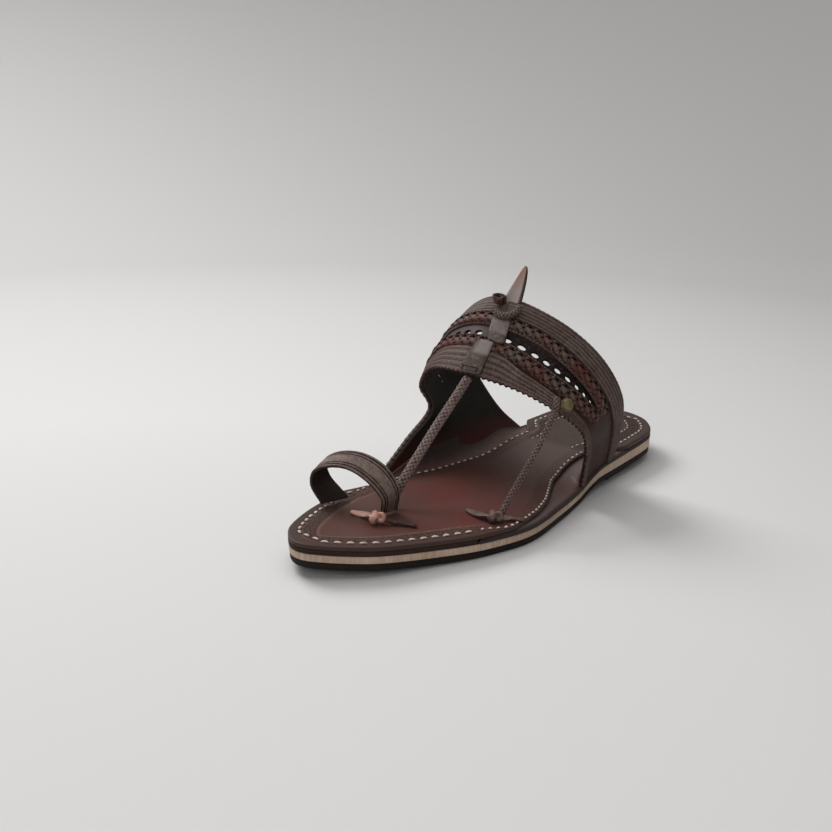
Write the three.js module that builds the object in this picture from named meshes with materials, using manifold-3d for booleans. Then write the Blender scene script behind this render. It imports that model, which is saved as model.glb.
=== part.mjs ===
// Kolhapuri sandal, left foot: a flat layered leather sole with a cut-in waist, two side
// ears that rise into a wide instep band, a toe loop and two braided thongs.
// Millimetres, +Z up. The toe points to -Y, the outer (lateral) side is +X.
// "s" is the distance from the back of the heel towards the toe, along the sole.
import * as THREE from 'three';
import { mergeVertices } from 'three/addons/utils/BufferGeometryUtils.js';
import Module from 'manifold-3d';

const wasm = await Module();
wasm.setup();

// ---------- driving dimensions ----------
const soleLength = 280;
const gap = 0.3;
const heelSeat = 4.3;
const toeSpring = 5.4;
const outsoleThickness = 4.1;
const midsoleToe = 3.9;
const midsoleHeel = 5.5;
const baseThickness = 2.6;
const footbedThickness = 2.3;
const wallThickness = 2.8;
const strapThickness = 1.8;
const thongDiameter = 5;
const sideThongDiameter = 3.4;

// where the underside lies on the floor, how it rises to the heel seat and to the toe
const flatSpot = { from: 118, to: 196 };
const heelRamp = 32;
const toeCurve = 1.6;
const heelLift = { from: 7, to: 72, inset: 5, corner: 12 };

// the midsole thins over this stretch; the two tips lie off the middle line from tipFrom on
const midsoleTaper = { from: 65, length: 50 };
const tipFrom = 168;

// outline of the sole: x of the two edges at each distance s
const soleRows = [
  { s: 0, medial: 0, lateral: 0 },
  { s: 8.4, medial: -22.7, lateral: 22.4 },
  { s: 28, medial: -34.8, lateral: 35.2 },
  { s: 62, medial: -35, lateral: 39 },
  { s: 101, medial: -33.6, lateral: 42.3 },
  { s: 140, medial: -37.5, lateral: 50.1 },
  { s: 174, medial: -44.1, lateral: 54.7 },
  { s: 202, medial: -47.4, lateral: 48.3 },
  { s: 230, medial: -41.6, lateral: 36.3 },
  { s: 255, medial: -32.2, lateral: 23.5 },
  { s: 268, medial: -24.6, lateral: 12.4 },
  { s: 275.5, medial: -17, lateral: 3.6 },
  { s: soleLength, medial: -6.5, lateral: -6.5 },
];

// edge of the footbed where it is cut in at the waist, to let the ears out
const waistRows = [
  { s: 56, medial: -35, lateral: 38.7 },
  { s: 62, medial: -31, lateral: 37.5 },
  { s: 70, medial: -25, lateral: 32 },
  { s: 80, medial: -22, lateral: 26.5 },
  { s: 98, medial: -23.5, lateral: 25.6 },
  { s: 117, medial: -26.4, lateral: 29 },
  { s: 131, medial: -28.5, lateral: 36 },
  { s: 148, medial: -31, lateral: 45 },
  { s: 166, medial: -36.5, lateral: 50.4 },
  { s: 185, medial: -40.6, lateral: 52.4 },
  { s: 198, medial: -44, lateral: 49.2 },
  { s: 209, medial: -46.8, lateral: 46 },
];
const earSeam = 6;
const earTaper = 9;

// the instep band: one row for each section across the arch, from the inner rim over the
// crown to the outer rim, with the front and rear edge and how far the middle bows out
const bandRows = [
  { at: 'inner rim', front: [-45.5, -48, 9.5], rear: [-34, 75, 15], bow: 0 },
  { at: 'inner ear', front: [-42.5, -21, 31], rear: [-40.5, 61, 30], bow: 0 },
  { at: 'inner wall', front: [-41, -3, 46], rear: [-46, 49, 49], bow: 1.5 },
  { at: 'inner swell', front: [-43, -8.5, 59], rear: [-48.5, 38, 69], bow: 3 },
  { at: 'inner shoulder', front: [-35, -10.5, 71], rear: [-43, 28.5, 90.8], bow: 2.8 },
  { at: 'crown', front: [-8, -17, 76], rear: [-13, 21, 110], bow: 2.4 },
  { at: 'outer crown', front: [24, -8, 70], rear: [21.5, 27, 102], bow: 2.5 },
  { at: 'outer shoulder', front: [45, 2, 59], rear: [43, 39, 83], bow: 2.5 },
  { at: 'outer swell', front: [51, 15.5, 45.5], rear: [50, 53.5, 57.5], bow: 1.5 },
  { at: 'outer wall', front: [48, 24.5, 30], rear: [46, 60, 35], bow: 0.5 },
  { at: 'outer rim', front: [44, 27.3, 9.5], rear: [39.5, 65, 15], bow: 0 },
];

// the toe loop: front and rear edge of its strap, from the inner to the outer foot
const loopRows = [
  { front: [-36.5, -95, 15.6], rear: [-34, -77.5, 14.7] },
  { front: [-42.5, -96.5, 25], rear: [-43.5, -82, 26.5] },
  { front: [-40, -97, 33.5], rear: [-41.5, -85.5, 37] },
  { front: [-30.5, -95, 38.5], rear: [-31.5, -84.5, 43.5] },
  { front: [-19, -91.5, 38.5], rear: [-18.5, -80.5, 44.5] },
  { front: [-8, -88, 32.5], rear: [-7, -76, 38.5] },
  { front: [-2.5, -84.5, 24], rear: [-0.5, -73, 27] },
  { front: [-5, -82, 14.8], rear: [-4, -71, 14.3] },
];

// ---------- small helpers ----------
const clamp01 = (x) => Math.min(1, Math.max(0, x));
const smoothStep = (x) => clamp01(x) ** 2 * (3 - 2 * clamp01(x));
const yOf = (s) => soleLength / 2 - s;

// monotone cubic through the rows of a table, so an outline never overshoots its rows
function column(rows, key, at) {
  const last = rows.length - 1;
  const x = clampTo(at, rows[0].s, rows[last].s);
  let k = 0;
  while (k < last - 1 && x > rows[k + 1].s) k += 1;
  const slope = (i) => (rows[i + 1][key] - rows[i][key]) / (rows[i + 1].s - rows[i].s);
  const tangent = (i) => {
    if (i === 0) return slope(0);
    if (i === last) return slope(last - 1);
    const product = slope(i - 1) * slope(i);
    return product <= 0 ? 0 : (2 * product) / (slope(i - 1) + slope(i));
  };
  const h = rows[k + 1].s - rows[k].s;
  const t = (x - rows[k].s) / h;
  const rise = (2 * t ** 3 - 3 * t ** 2 + 1) * rows[k][key] + (3 * t ** 2 - 2 * t ** 3) * rows[k + 1][key];
  return rise + h * ((t ** 3 - 2 * t ** 2 + t) * tangent(k) + (t ** 3 - t ** 2) * tangent(k + 1));
}

function clampTo(x, low, high) {
  return Math.min(high, Math.max(low, x));
}

// the two ends of the sole are round: squared half-widths run straight into the tips
const tipX = soleRows[soleRows.length - 1].medial;
const middleX = (s) => tipX * smoothStep((s - tipFrom) / (soleLength - tipFrom));
const squaredRows = soleRows.map(({ s, medial, lateral }) => {
  const middle = middleX(s);
  return { s, medial: (middle - medial) ** 2, lateral: (lateral - middle) ** 2 };
});

function soleEdge(side, s, inset = 0) {
  const middle = middleX(s);
  const half = Math.max(0, Math.sqrt(Math.max(0, column(squaredRows, side, s))) - inset);
  return side === 'medial' ? middle - half : middle + half;
}

// ---------- heights along the sole ----------
function underside(s) {
  const heelRise = heelSeat * smoothStep((flatSpot.from - s) / heelRamp);
  const toeRise = toeSpring * clamp01((s - flatSpot.to) / (soleLength - flatSpot.to)) ** toeCurve;
  return heelRise + toeRise;
}
const taper = (s) => smoothStep((s - midsoleTaper.from) / midsoleTaper.length);
const midsoleThickness = (s) => midsoleHeel + (midsoleToe - midsoleHeel) * taper(s);
const outsoleTop = (s) => underside(s) + outsoleThickness;
const midsoleTop = (s) => outsoleTop(s) + midsoleThickness(s);
const baseTop = (s) => midsoleTop(s) + baseThickness;
const footbedTop = (s) => baseTop(s) + footbedThickness;

// ---------- mesh helpers ----------
function closedGeometry(points, faces) {
  const geometry = new THREE.BufferGeometry();
  geometry.setAttribute('position', new THREE.Float32BufferAttribute(points.flat(), 3));
  const kept = faces.filter(([a, b, c]) => a !== b && b !== c && a !== c);
  const volume = kept.reduce((sum, [a, b, c]) => {
    const [p, q, r] = [points[a], points[b], points[c]].map((v) => new THREE.Vector3(...v));
    return sum + p.dot(q.cross(r));
  }, 0);
  const outward = volume > 0 ? kept : kept.map(([a, b, c]) => [a, c, b]);
  geometry.setIndex(outward.flat());
  return geometry;
}

// a layer of the sole between two edges and two heights, all functions of s
function layer({ from, to, steps, left, right, low, high }) {
  const points = [];
  const rings = [];
  for (let j = 0; j <= steps; j += 1) {
    const s = from + ((to - from) * (1 - Math.cos((Math.PI * j) / steps))) / 2;
    const [a, b] = [left(s), right(s)];
    const closed = b - a < 0.02;
    const xs = closed ? [(a + b) / 2] : [a, b];
    const start = points.length;
    [low(s), high(s)].forEach((z) => xs.forEach((x) => points.push([x, yOf(s), z])));
    const width = xs.length;
    rings.push([start, start + width - 1, start + 2 * width - 1, start + width]);
  }
  const faces = [];
  for (let j = 0; j < steps; j += 1) {
    for (let k = 0; k < 4; k += 1) {
      const [a, b] = [rings[j][k], rings[j][(k + 1) % 4]];
      const [c, d] = [rings[j + 1][k], rings[j + 1][(k + 1) % 4]];
      faces.push([a, b, d], [a, d, c]);
    }
  }
  [rings[0], rings[steps]].forEach((r, end) => {
    const cap = [[r[0], r[1], r[2]], [r[0], r[2], r[3]]];
    faces.push(...(end ? cap : cap.map(([a, b, c]) => [a, c, b])));
  });
  return closedGeometry(points, faces);
}

// a sheet with a wall: the outer face is surface(u, v, 0), the inner one surface(u, v, -wall)
function walledSheet(surface, nu, nv, outer, inner) {
  const points = [];
  const index = (side, i, j) => side * (nu + 1) * (nv + 1) + i * (nv + 1) + j;
  [outer, inner].forEach((offset) => {
    for (let i = 0; i <= nu; i += 1) {
      for (let j = 0; j <= nv; j += 1) points.push(surface(i / nu, j / nv, offset).toArray());
    }
  });
  const faces = [];
  const quad = (a, b, c, d) => faces.push([a, b, c], [a, c, d]);
  for (let i = 0; i < nu; i += 1) {
    for (let j = 0; j < nv; j += 1) {
      quad(index(0, i, j), index(0, i + 1, j), index(0, i + 1, j + 1), index(0, i, j + 1));
      quad(index(1, i, j), index(1, i, j + 1), index(1, i + 1, j + 1), index(1, i + 1, j));
    }
  }
  for (let i = 0; i < nu; i += 1) {
    quad(index(0, i, 0), index(1, i, 0), index(1, i + 1, 0), index(0, i + 1, 0));
    quad(index(0, i + 1, nv), index(1, i + 1, nv), index(1, i, nv), index(0, i, nv));
  }
  for (let j = 0; j < nv; j += 1) {
    quad(index(0, 0, j + 1), index(1, 0, j + 1), index(1, 0, j), index(0, 0, j));
    quad(index(0, nu, j), index(1, nu, j), index(1, nu, j + 1), index(0, nu, j + 1));
  }
  return closedGeometry(points, faces);
}

function solid(geometry) {
  const bare = geometry.clone();
  bare.deleteAttribute('normal');
  bare.deleteAttribute('uv');
  const merged = mergeVertices(bare, 1e-4);
  const vertProperties = new Float32Array(merged.attributes.position.array);
  const triVerts = new Uint32Array(merged.index.array);
  return new wasm.Manifold(new wasm.Mesh({ numProp: 3, vertProperties, triVerts }));
}

function geometryOf(manifold) {
  const mesh = manifold.getMesh();
  const geometry = new THREE.BufferGeometry();
  geometry.setAttribute('position', new THREE.Float32BufferAttribute(mesh.vertProperties, 3));
  geometry.setIndex([...mesh.triVerts]);
  return geometry;
}

// a surface lofted from two edge curves, bowed along its normal in the middle; where it has
// feet, its two ends are drawn on to the line that footOn gives
function loftedStrip(rows, middle, footOn) {
  const curve = (key) => {
    const points = rows.map((row) => new THREE.Vector3(...row[key]));
    return new THREE.CatmullRomCurve3(points, false, 'centripetal');
  };
  const [front, rear] = [curve('front'), curve('rear')];
  const bowAt = (u) => {
    const k = Math.min(rows.length - 2, Math.floor(u * (rows.length - 1)));
    const t = u * (rows.length - 1) - k;
    return (rows[k].bow ?? 0) * (1 - t) + (rows[k + 1].bow ?? 0) * t;
  };
  const straight = (u, v) => front.getPoint(clamp01(u)).lerp(rear.getPoint(clamp01(u)), v);
  const ruled = (u, v) => {
    const point = straight(u, v);
    if (!footOn) return point;
    [0, 1].forEach((end) => {
      const share = 1 - smoothStep(Math.abs(u - end) * (rows.length - 1));
      if (share === 0) return;
      const foot = straight(end, v);
      point.addScaledVector(footOn(end, foot.y).sub(foot), share);
    });
    return point;
  };
  const normal = (place, u, v) => {
    const e = 0.004;
    const du = place(Math.min(1, u + e), v).sub(place(Math.max(0, u - e), v));
    const dv = place(u, v + e).sub(place(u, v - e));
    const n = du.cross(dv).normalize();
    return n.dot(place(u, v).sub(middle)) < 0 ? n.negate() : n;
  };
  const bowed = (u, v) => {
    const lift = 4 * v * (1 - v) * bowAt(u);
    return ruled(u, v).addScaledVector(normal(ruled, u, v), lift);
  };
  return (u, v, offset) => bowed(u, v).addScaledVector(normal(bowed, u, v), offset);
}

// a round cord along a list of points
function cord(points, diameter, steps, sides = 8) {
  const path = new THREE.CatmullRomCurve3(points.map((p) => new THREE.Vector3(...p)), false, 'centripetal');
  const section = new THREE.Shape();
  for (let k = 0; k < sides; k += 1) {
    const angle = (2 * Math.PI * k) / sides;
    const [x, y] = [Math.cos(angle) * diameter * 0.5, Math.sin(angle) * diameter * 0.5];
    if (k === 0) section.moveTo(x, y);
    else section.lineTo(x, y);
  }
  section.closePath();
  return new THREE.ExtrudeGeometry(section, { steps, bevelEnabled: false, extrudePath: path });
}

// ---------- materials ----------
const leather = (color, roughness) => new THREE.MeshStandardMaterial({ color, roughness, metalness: 0 });
const finish = {
  outsole: leather('#3a2a25', 0.75),
  midsole: leather('#a58c76', 0.7),
  base: leather('#402c26', 0.65),
  footbed: leather('#4a302a', 0.5),
  upper: leather('#3b2723', 0.55),
  strap: leather('#5d4b48', 0.5),
  braid: leather('#6b4c43', 0.6),
  leaf: leather('#7d6a64', 0.55),
  knot: leather('#8a6355', 0.6),
  brass: new THREE.MeshStandardMaterial({ color: '#6a5b36', roughness: 0.35, metalness: 0.8 }),
};

const sandal = new THREE.Group();
function addPart(name, geometry, material) {
  const mesh = new THREE.Mesh(geometry, material);
  mesh.name = name;
  sandal.add(mesh);
  return mesh;
}

// ---------- the sole ----------
const whole = { from: 0, to: soleLength, steps: 40 };

function soleLayer(inset, low, high, steps = whole.steps) {
  return layer({
    from: inset,
    to: soleLength - inset,
    steps,
    left: (s) => insetEdge('medial', s, inset),
    right: (s) => insetEdge('lateral', s, inset),
    low,
    high,
  });
}

// an edge drawn in by the inset all round, tips included
function insetEdge(side, s, inset) {
  const stretched = ((s - inset) / (soleLength - 2 * inset)) * soleLength;
  return soleEdge(side, stretched, inset * 4 * clamp01(s / soleLength) * clamp01(1 - s / soleLength));
}

function makeOutsole() {
  return soleLayer(0.8, underside, (s) => outsoleTop(s) - gap);
}

function makeHeelLift() {
  const { from, to, inset, corner } = heelLift;
  const drawnIn = (s) => inset * smoothStep((s - from) / corner);
  return layer({
    from,
    to,
    steps: 14,
    left: (s) => soleEdge('medial', s - from * 0.8, drawnIn(s)),
    right: (s) => soleEdge('lateral', s - from * 0.8, drawnIn(s)),
    low: () => 0,
    high: () => heelSeat - gap,
  });
}

// ---------- the waist: footbed edge, ears and the base between them ----------
const inWaist = (s) => s > waistRows[0].s && s < waistRows[waistRows.length - 1].s;

function footbedEdge(side, s) {
  const rim = soleEdge(side, s);
  if (!inWaist(s)) return rim;
  const cut = column(waistRows, side, s);
  return side === 'medial' ? Math.max(rim, cut) : Math.min(rim, cut);
}

// the ears are caught under the footbed for the width of the seam, less towards their tips
function earEdge(side, s) {
  const fade = smoothStep((s - waistRows[0].s) / earTaper);
  const fadeFront = smoothStep((waistRows[waistRows.length - 1].s - s) / earTaper);
  const seam = earSeam * fade * fadeFront;
  return footbedEdge(side, s) + (side === 'medial' ? seam : -seam);
}

// the layer under the footbed stops short of both ears
function makeBase() {
  const full = soleLayer(0, midsoleTop, (s) => baseTop(s) - gap, 56);
  const cut = solid(full).subtract(solid(makeEar('medial', gap))).subtract(solid(makeEar('lateral', gap)));
  return geometryOf(cut);
}

function makeFootbed() {
  return layer({
    ...whole,
    steps: 56,
    left: (s) => footbedEdge('medial', s),
    right: (s) => footbedEdge('lateral', s),
    low: baseTop,
    high: footbedTop,
  });
}

function makeEar(side, grown = 0) {
  const margin = 1.2;
  const towardsMiddle = side === 'medial' ? grown : -grown;
  const outer = (s) => soleEdge(side, s) - 4 * towardsMiddle;
  const inner = (s) => earEdge(side, s) + towardsMiddle;
  return layer({
    from: waistRows[0].s + margin - grown,
    to: waistRows[waistRows.length - 1].s - margin + grown,
    steps: 30,
    left: side === 'medial' ? outer : inner,
    right: side === 'medial' ? inner : outer,
    low: (s) => midsoleTop(s) - 2 * grown,
    high: (s) => baseTop(s) - gap + 2 * grown,
  });
}

// ---------- the upper: two ears and the instep band, one hollow wall ----------
const rimMargin = 0.5;
function rimFoot(end, y) {
  const s = soleLength / 2 - y;
  const x = end === 0 ? soleEdge('medial', s) + rimMargin : soleEdge('lateral', s) - rimMargin;
  return new THREE.Vector3(x, y, midsoleTop(s) + baseThickness / 2);
}
const band = loftedStrip(bandRows, new THREE.Vector3(0, 25, 35), rimFoot);

function makeUpper() {
  const arch = walledSheet(band, 60, 8, 0, -wallThickness);
  const parts = [solid(arch), solid(makeEar('medial')), solid(makeEar('lateral'))];
  return geometryOf(parts[0].add(parts[1]).add(parts[2]));
}

// a strap laid on the band, cut from the band's own surface; across and halfWidth give its
// middle and half its width, as shares of the arch, at its front and at its rear end
function strapOnBand({ across, halfWidth, along, lift, nu = 4, nv = 8 }) {
  const mix = ([a, b], t) => a + (b - a) * t;
  const place = (a, b, offset) => {
    const u = mix(across, b) + (2 * a - 1) * mix(halfWidth, b);
    return band(u, mix(along, b), lift + offset);
  };
  return walledSheet(place, nu, nv, strapThickness, 0);
}

// ---------- trims on the crown ----------
const frontTab = { across: [0.519, 0.526], halfWidth: [0.02, 0.0125], along: [0, 0.375], lift: gap };
const rearTab = { across: [0.54, 0.529], halfWidth: [0.0135, 0.0145], along: [0.39, 0.86], lift: gap };
const topKnot = { across: 0.533, along: 0.835, radius: 7, cordRadius: 1.35, from: 210, to: 377 };

function frameOnBand(u, v, offset) {
  const origin = band(u, v, offset);
  const up = band(u, v, offset + 1).sub(origin).normalize();
  const side = band(u + 0.01, v, offset).sub(origin).normalize();
  const back = new THREE.Vector3().crossVectors(up, side).normalize();
  return new THREE.Matrix4().makeBasis(side, back, up).setPosition(origin);
}

// the collar: a braided cord laid round the foot of the leaf, open behind it; its two ends
// are at angles in degrees, counted from the side of the knot towards its back
function makeCollar() {
  const { across, along, radius, cordRadius, from, to } = topKnot;
  const clear = strapThickness + 2 * gap + cordRadius;
  const frame = frameOnBand(across, along, clear);
  const points = [];
  for (let k = 0; k <= 12; k += 1) {
    const angle = THREE.MathUtils.degToRad(from + ((to - from) * k) / 12);
    const place = new THREE.Vector3(radius * Math.cos(angle), radius * Math.sin(angle), 0);
    points.push(place.applyMatrix4(frame).toArray());
  }
  return cord(points, cordRadius * 2, 24);
}

// the leaf: a folded tongue that stands behind the collar and narrows to its tip
const leaf = { across: 0.534, along: 0.925, tip: [0.4, 29.1, 126.9], halfWidth: 4.8, wall: 1.6 };
function makeLeaf() {
  const foot = band(leaf.across, leaf.along, strapThickness + 2 * gap);
  const lean = new THREE.Vector3(...leaf.tip).sub(foot);
  const side = new THREE.Vector3(0.95, 0.3, 0).normalize();
  const back = new THREE.Vector3().crossVectors(lean, side).normalize();
  const place = (a, b, offset) => {
    const half = (leaf.halfWidth - 0.5) * (1 - b) ** 0.85 + 0.5;
    const fold = 1.5 * (1 - (2 * a - 1) ** 2) * (1 - b);
    return foot.clone()
      .addScaledVector(lean, b)
      .addScaledVector(side, (2 * a - 1) * half)
      .addScaledVector(back, fold + offset);
  };
  return walledSheet(place, 4, 8, leaf.wall / 2, -leaf.wall / 2);
}

// the curl: a strip end rolled up beside the leaf, an open roll at the end of the collar
const curl = { side: -5.5, back: 0.8, outer: 2.6, inner: 1.4, height: 6.8, mouth: 0.3, lean: 0.45 };
function makeCurl() {
  const roll = new THREE.Shape();
  roll.absarc(0, 0, curl.outer, curl.mouth, 2 * Math.PI - curl.mouth, false);
  roll.absarc(0, 0, curl.inner, 2 * Math.PI - curl.mouth, curl.mouth, true);
  roll.closePath();
  const shape = { depth: curl.height, steps: 1, bevelEnabled: false, curveSegments: 12 };
  const geometry = new THREE.ExtrudeGeometry(roll, shape);
  geometry.rotateX(-curl.lean).translate(curl.side, curl.back, curl.outer * Math.sin(curl.lean));
  const clear = strapThickness + 2 * gap;
  return geometry.applyMatrix4(frameOnBand(topKnot.across, topKnot.along, clear));
}

const rivet = { across: 0.699, along: 0.12, radius: 3.8, height: 2.1, rim: 0.4, steps: 6 };
function makeRivet() {
  const profile = [new THREE.Vector2(0, 0)];
  for (let k = 0; k <= rivet.steps; k += 1) {
    const angle = (Math.PI / 2) * (k / rivet.steps);
    const height = rivet.rim + (rivet.height - rivet.rim) * Math.sin(angle);
    profile.push(new THREE.Vector2(rivet.radius * Math.cos(angle), height));
  }
  profile[profile.length - 1].x = 0;
  const dome = new THREE.LatheGeometry(profile, 20).rotateX(Math.PI / 2);
  return dome.applyMatrix4(frameOnBand(rivet.across, rivet.along, gap + rivet.rim));
}

// ---------- toe loop and thongs ----------
const toeLoop = loftedStrip(loopRows, new THREE.Vector3(-20, -85, 22));
const floorOfFootbed = (y, lift) => footbedTop(soleLength / 2 - y) + lift;

function makeKnot(centre, size, tails) {
  const ball = new THREE.SphereGeometry(1, 12, 8).scale(...size);
  ball.translate(...centre);
  const tailSolids = tails.map(({ end, width, thickness }) => {
    const from = new THREE.Vector3(...centre);
    const along = new THREE.Vector3(...end).sub(from);
    const side = new THREE.Vector3(-along.y, along.x, 0).normalize();
    const place = (a, b, offset) => from.clone()
      .addScaledVector(along, b)
      .addScaledVector(side, (a - 0.5) * width * (1 - 0.55 * b))
      .add(new THREE.Vector3(0, 0, offset));
    return solid(walledSheet(place, 1, 4, thickness / 2, -thickness / 2));
  });
  return geometryOf(tailSolids.reduce((sum, tail) => sum.add(tail), solid(ball)));
}

// the toe thong runs from the footbed up to the front edge of the band, under the tab; the
// side thong goes over the front edge and ends on the band, beside the rivet
const tabFoot = band(0.519, 0, -wallThickness / 2);
const toeThongRoute = [
  [-7.6, -69, floorOfFootbed(-69, thongDiameter / 2 + 0.6)],
  [-7, -62, 25],
  [-6, -50, 38.4],
  [-4.8, -38, 51.6],
  [-3.5, -26.5, 63.6],
  [tabFoot.x, tabFoot.y - 1.4, tabFoot.z - 1.2],
];
const onBand = (u, v, lift) => band(u, v, lift + gap + sideThongDiameter / 2).toArray();
const sideThongRoute = [
  [40.4, -43.2, floorOfFootbed(-43.2, sideThongDiameter / 2 + 0.5)],
  [41.4, -36.5, 22.2],
  [42.8, -26, 33.9],
  [43.9, -16.5, 44.7],
  [44.5, -8, 55],
  onBand(0.684, -0.06, -0.6),
  onBand(0.68, 0.02, 0.4),
  onBand(0.671, 0.12, 0.2),
];

// ---------- the assembly ----------
addPart('outsole', makeOutsole(), finish.outsole);
addPart('heel_lift', makeHeelLift(), finish.outsole);
addPart('midsole', soleLayer(0.3, outsoleTop, (s) => midsoleTop(s) - gap), finish.midsole);
addPart('insole_base', makeBase(), finish.base);
addPart('footbed', makeFootbed(), finish.footbed);
addPart('upper', makeUpper(), finish.upper);
addPart('centre_strap_front', strapOnBand(frontTab), finish.strap);
addPart('centre_strap_rear', strapOnBand(rearTab), finish.strap);
addPart('braided_collar', makeCollar(), finish.braid);
addPart('leaf_tip', makeLeaf(), finish.leaf);
addPart('rolled_curl', makeCurl(), finish.leaf);
addPart('rivet', makeRivet(), finish.brass);
addPart('toe_loop', walledSheet(toeLoop, 28, 4, 0, -2), finish.upper);
addPart('toe_thong', cord(toeThongRoute, thongDiameter, 24), finish.braid);
addPart('side_thong', cord(sideThongRoute, sideThongDiameter, 24), finish.braid);
addPart('toe_knot', makeKnot([0.8, -92, floorOfFootbed(-92, 3)], [3.2, 3.4, 2.7], [
  { end: [-19, -89.7, floorOfFootbed(-89, 1.7)], width: 4.4, thickness: 1.6 },
  { end: [18.5, -81, floorOfFootbed(-81, 1.7)], width: 3.2, thickness: 1.4 },
]), finish.knot);
addPart('side_knot', makeKnot([41.6, -48.8, floorOfFootbed(-48.8, 2.8)], [2.8, 3, 2.4], [
  { end: [21.7, -47.2, floorOfFootbed(-47, 1.7)], width: 4.2, thickness: 1.5 },
  { end: [51.8, -37.2, floorOfFootbed(-37, 1.7)], width: 3.6, thickness: 1.4 },
]), finish.braid);

// stand the sandal on its floor with the middle of its outline over the origin
const box = new THREE.Box3().setFromObject(sandal);
const shift = new THREE.Vector3(-(box.min.x + box.max.x) / 2, -(box.min.y + box.max.y) / 2, -box.min.z);
const part = new THREE.Group();
sandal.position.copy(shift);
part.add(sandal);
export default part;
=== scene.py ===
import bmesh
import bpy
import numpy as np
from mathutils import Matrix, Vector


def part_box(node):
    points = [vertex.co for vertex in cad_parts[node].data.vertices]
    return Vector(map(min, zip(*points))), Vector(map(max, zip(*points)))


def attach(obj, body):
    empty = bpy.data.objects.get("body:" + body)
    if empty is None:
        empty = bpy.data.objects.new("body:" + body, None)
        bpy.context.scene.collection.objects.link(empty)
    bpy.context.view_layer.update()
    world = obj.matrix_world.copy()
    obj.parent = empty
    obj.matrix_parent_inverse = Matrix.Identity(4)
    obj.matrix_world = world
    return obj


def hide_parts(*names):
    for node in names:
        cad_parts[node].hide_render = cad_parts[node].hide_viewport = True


# Kolhapuri sandal, left foot. Lengths are in millimetres here and become metres in toFrame().
# The toe points to -Y, the outer side of the foot is +X, s runs from the heel's back to the toe.

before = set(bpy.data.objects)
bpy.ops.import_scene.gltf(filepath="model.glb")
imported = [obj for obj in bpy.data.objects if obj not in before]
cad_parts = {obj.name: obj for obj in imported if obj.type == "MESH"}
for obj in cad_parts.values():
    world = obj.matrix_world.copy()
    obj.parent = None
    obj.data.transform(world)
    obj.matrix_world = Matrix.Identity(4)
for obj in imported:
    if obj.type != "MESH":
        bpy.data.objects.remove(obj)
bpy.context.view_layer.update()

sole = {
    "length": 280.0,
    "stations": [0, 8.4, 28, 62, 101, 140, 174, 202, 230, 255, 268, 275.5, 280],
    "medial": [0, -22.7, -34.8, -35, -33.6, -37.5, -44.1, -47.4, -41.6, -32.2, -24.6, -17, -6.5],
    "lateral": [0, 22.4, 35.2, 39, 42.3, 50.1, 54.7, 48.3, 36.3, 23.5, 12.4, 3.6, -6.5],
    "tipFrom": 168.0,
    "heelSeat": 4.3,
    "flatFrom": 118.0,
    "flatTo": 196.0,
    "heelRamp": 32.0,
    "toeSpring": 5.4,
    "toeCurve": 1.6,
    "outsole": 4.1,
    "midsoleToe": 3.9,
    "midsoleHeel": 5.5,
    "taperFrom": 65.0,
    "taperLength": 50.0,
    "base": 2.6,
    "footbed": 2.3,
    "gap": 0.3,
}

waist = {
    "stations": [56, 62, 70, 80, 98, 117, 131, 148, 166, 185, 198, 209],
    "medial": [-35, -31, -25, -22, -23.5, -26.4, -28.5, -31, -36.5, -40.6, -44, -46.8],
    "lateral": [38.7, 37.5, 32, 26.5, 25.6, 29, 36, 45, 50.4, 52.4, 49.2, 46],
    "seam": 6.0,
    "fade": 9.0,
}


# curves and outline
def smoothStep(x):
    # 3 t^2 - 2 t^3, with t held between 0 and 1
    t = np.clip(x, 0, 1)
    return t * t * (3 - 2 * t)


def mix(a, b, share):
    return a + (b - a) * share


def throughRows(stations, values, at):
    # monotone cubic: Hermite pieces whose slopes are the harmonic mean of the chords beside them
    x = np.asarray(stations, float)
    y = np.asarray(values, float)
    q = np.clip(at, x[0], x[-1])
    k = np.clip(np.searchsorted(x, q, side="right") - 1, 0, len(x) - 2)
    chord = np.diff(y) / np.diff(x)
    slope = np.concatenate([chord[:1], np.zeros(len(x) - 2), chord[-1:]])
    product = chord[:-1] * chord[1:]
    total = np.where(product > 0, chord[:-1] + chord[1:], 1)
    slope[1:-1] = np.where(product > 0, 2 * product / total, 0)
    h = np.diff(x)[k]
    t = (q - x[k]) / h
    rise = (2 * t**3 - 3 * t**2 + 1) * y[k] + (3 * t**2 - 2 * t**3) * y[k + 1]
    return rise + h * ((t**3 - 2 * t**2 + t) * slope[k] + (t**3 - t**2) * slope[k + 1])


def catmullRom(points, u):
    # centripetal Catmull-Rom curve: Hermite pieces with knots spaced by the root of the chord
    p = np.asarray(points, float)
    ends = np.vstack([2 * p[0] - p[1], p, 2 * p[-1] - p[-2]])
    w = np.clip(u, 0, 1) * (len(p) - 1)
    k = np.minimum(np.floor(w).astype(int), len(p) - 2)
    t = (w - k)[..., None]
    p0, p1, p2, p3 = ends[k], ends[k + 1], ends[k + 2], ends[k + 3]
    d0 = np.sqrt(np.linalg.norm(p1 - p0, axis=-1, keepdims=True))
    d1 = np.sqrt(np.linalg.norm(p2 - p1, axis=-1, keepdims=True))
    d2 = np.sqrt(np.linalg.norm(p3 - p2, axis=-1, keepdims=True))
    t1 = ((p1 - p0) / d0 - (p2 - p0) / (d0 + d1) + (p2 - p1) / d1) * d1
    t2 = ((p2 - p1) / d1 - (p3 - p1) / (d1 + d2) + (p3 - p2) / d2) * d1
    return p1 + t1 * t + (-3 * p1 + 3 * p2 - 2 * t1 - t2) * t**2 + (2 * p1 - 2 * p2 + t1 + t2) * t**3


def middleX(s):
    start = sole["tipFrom"]
    return sole["medial"][-1] * smoothStep((s - start) / (sole["length"] - start))


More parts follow.
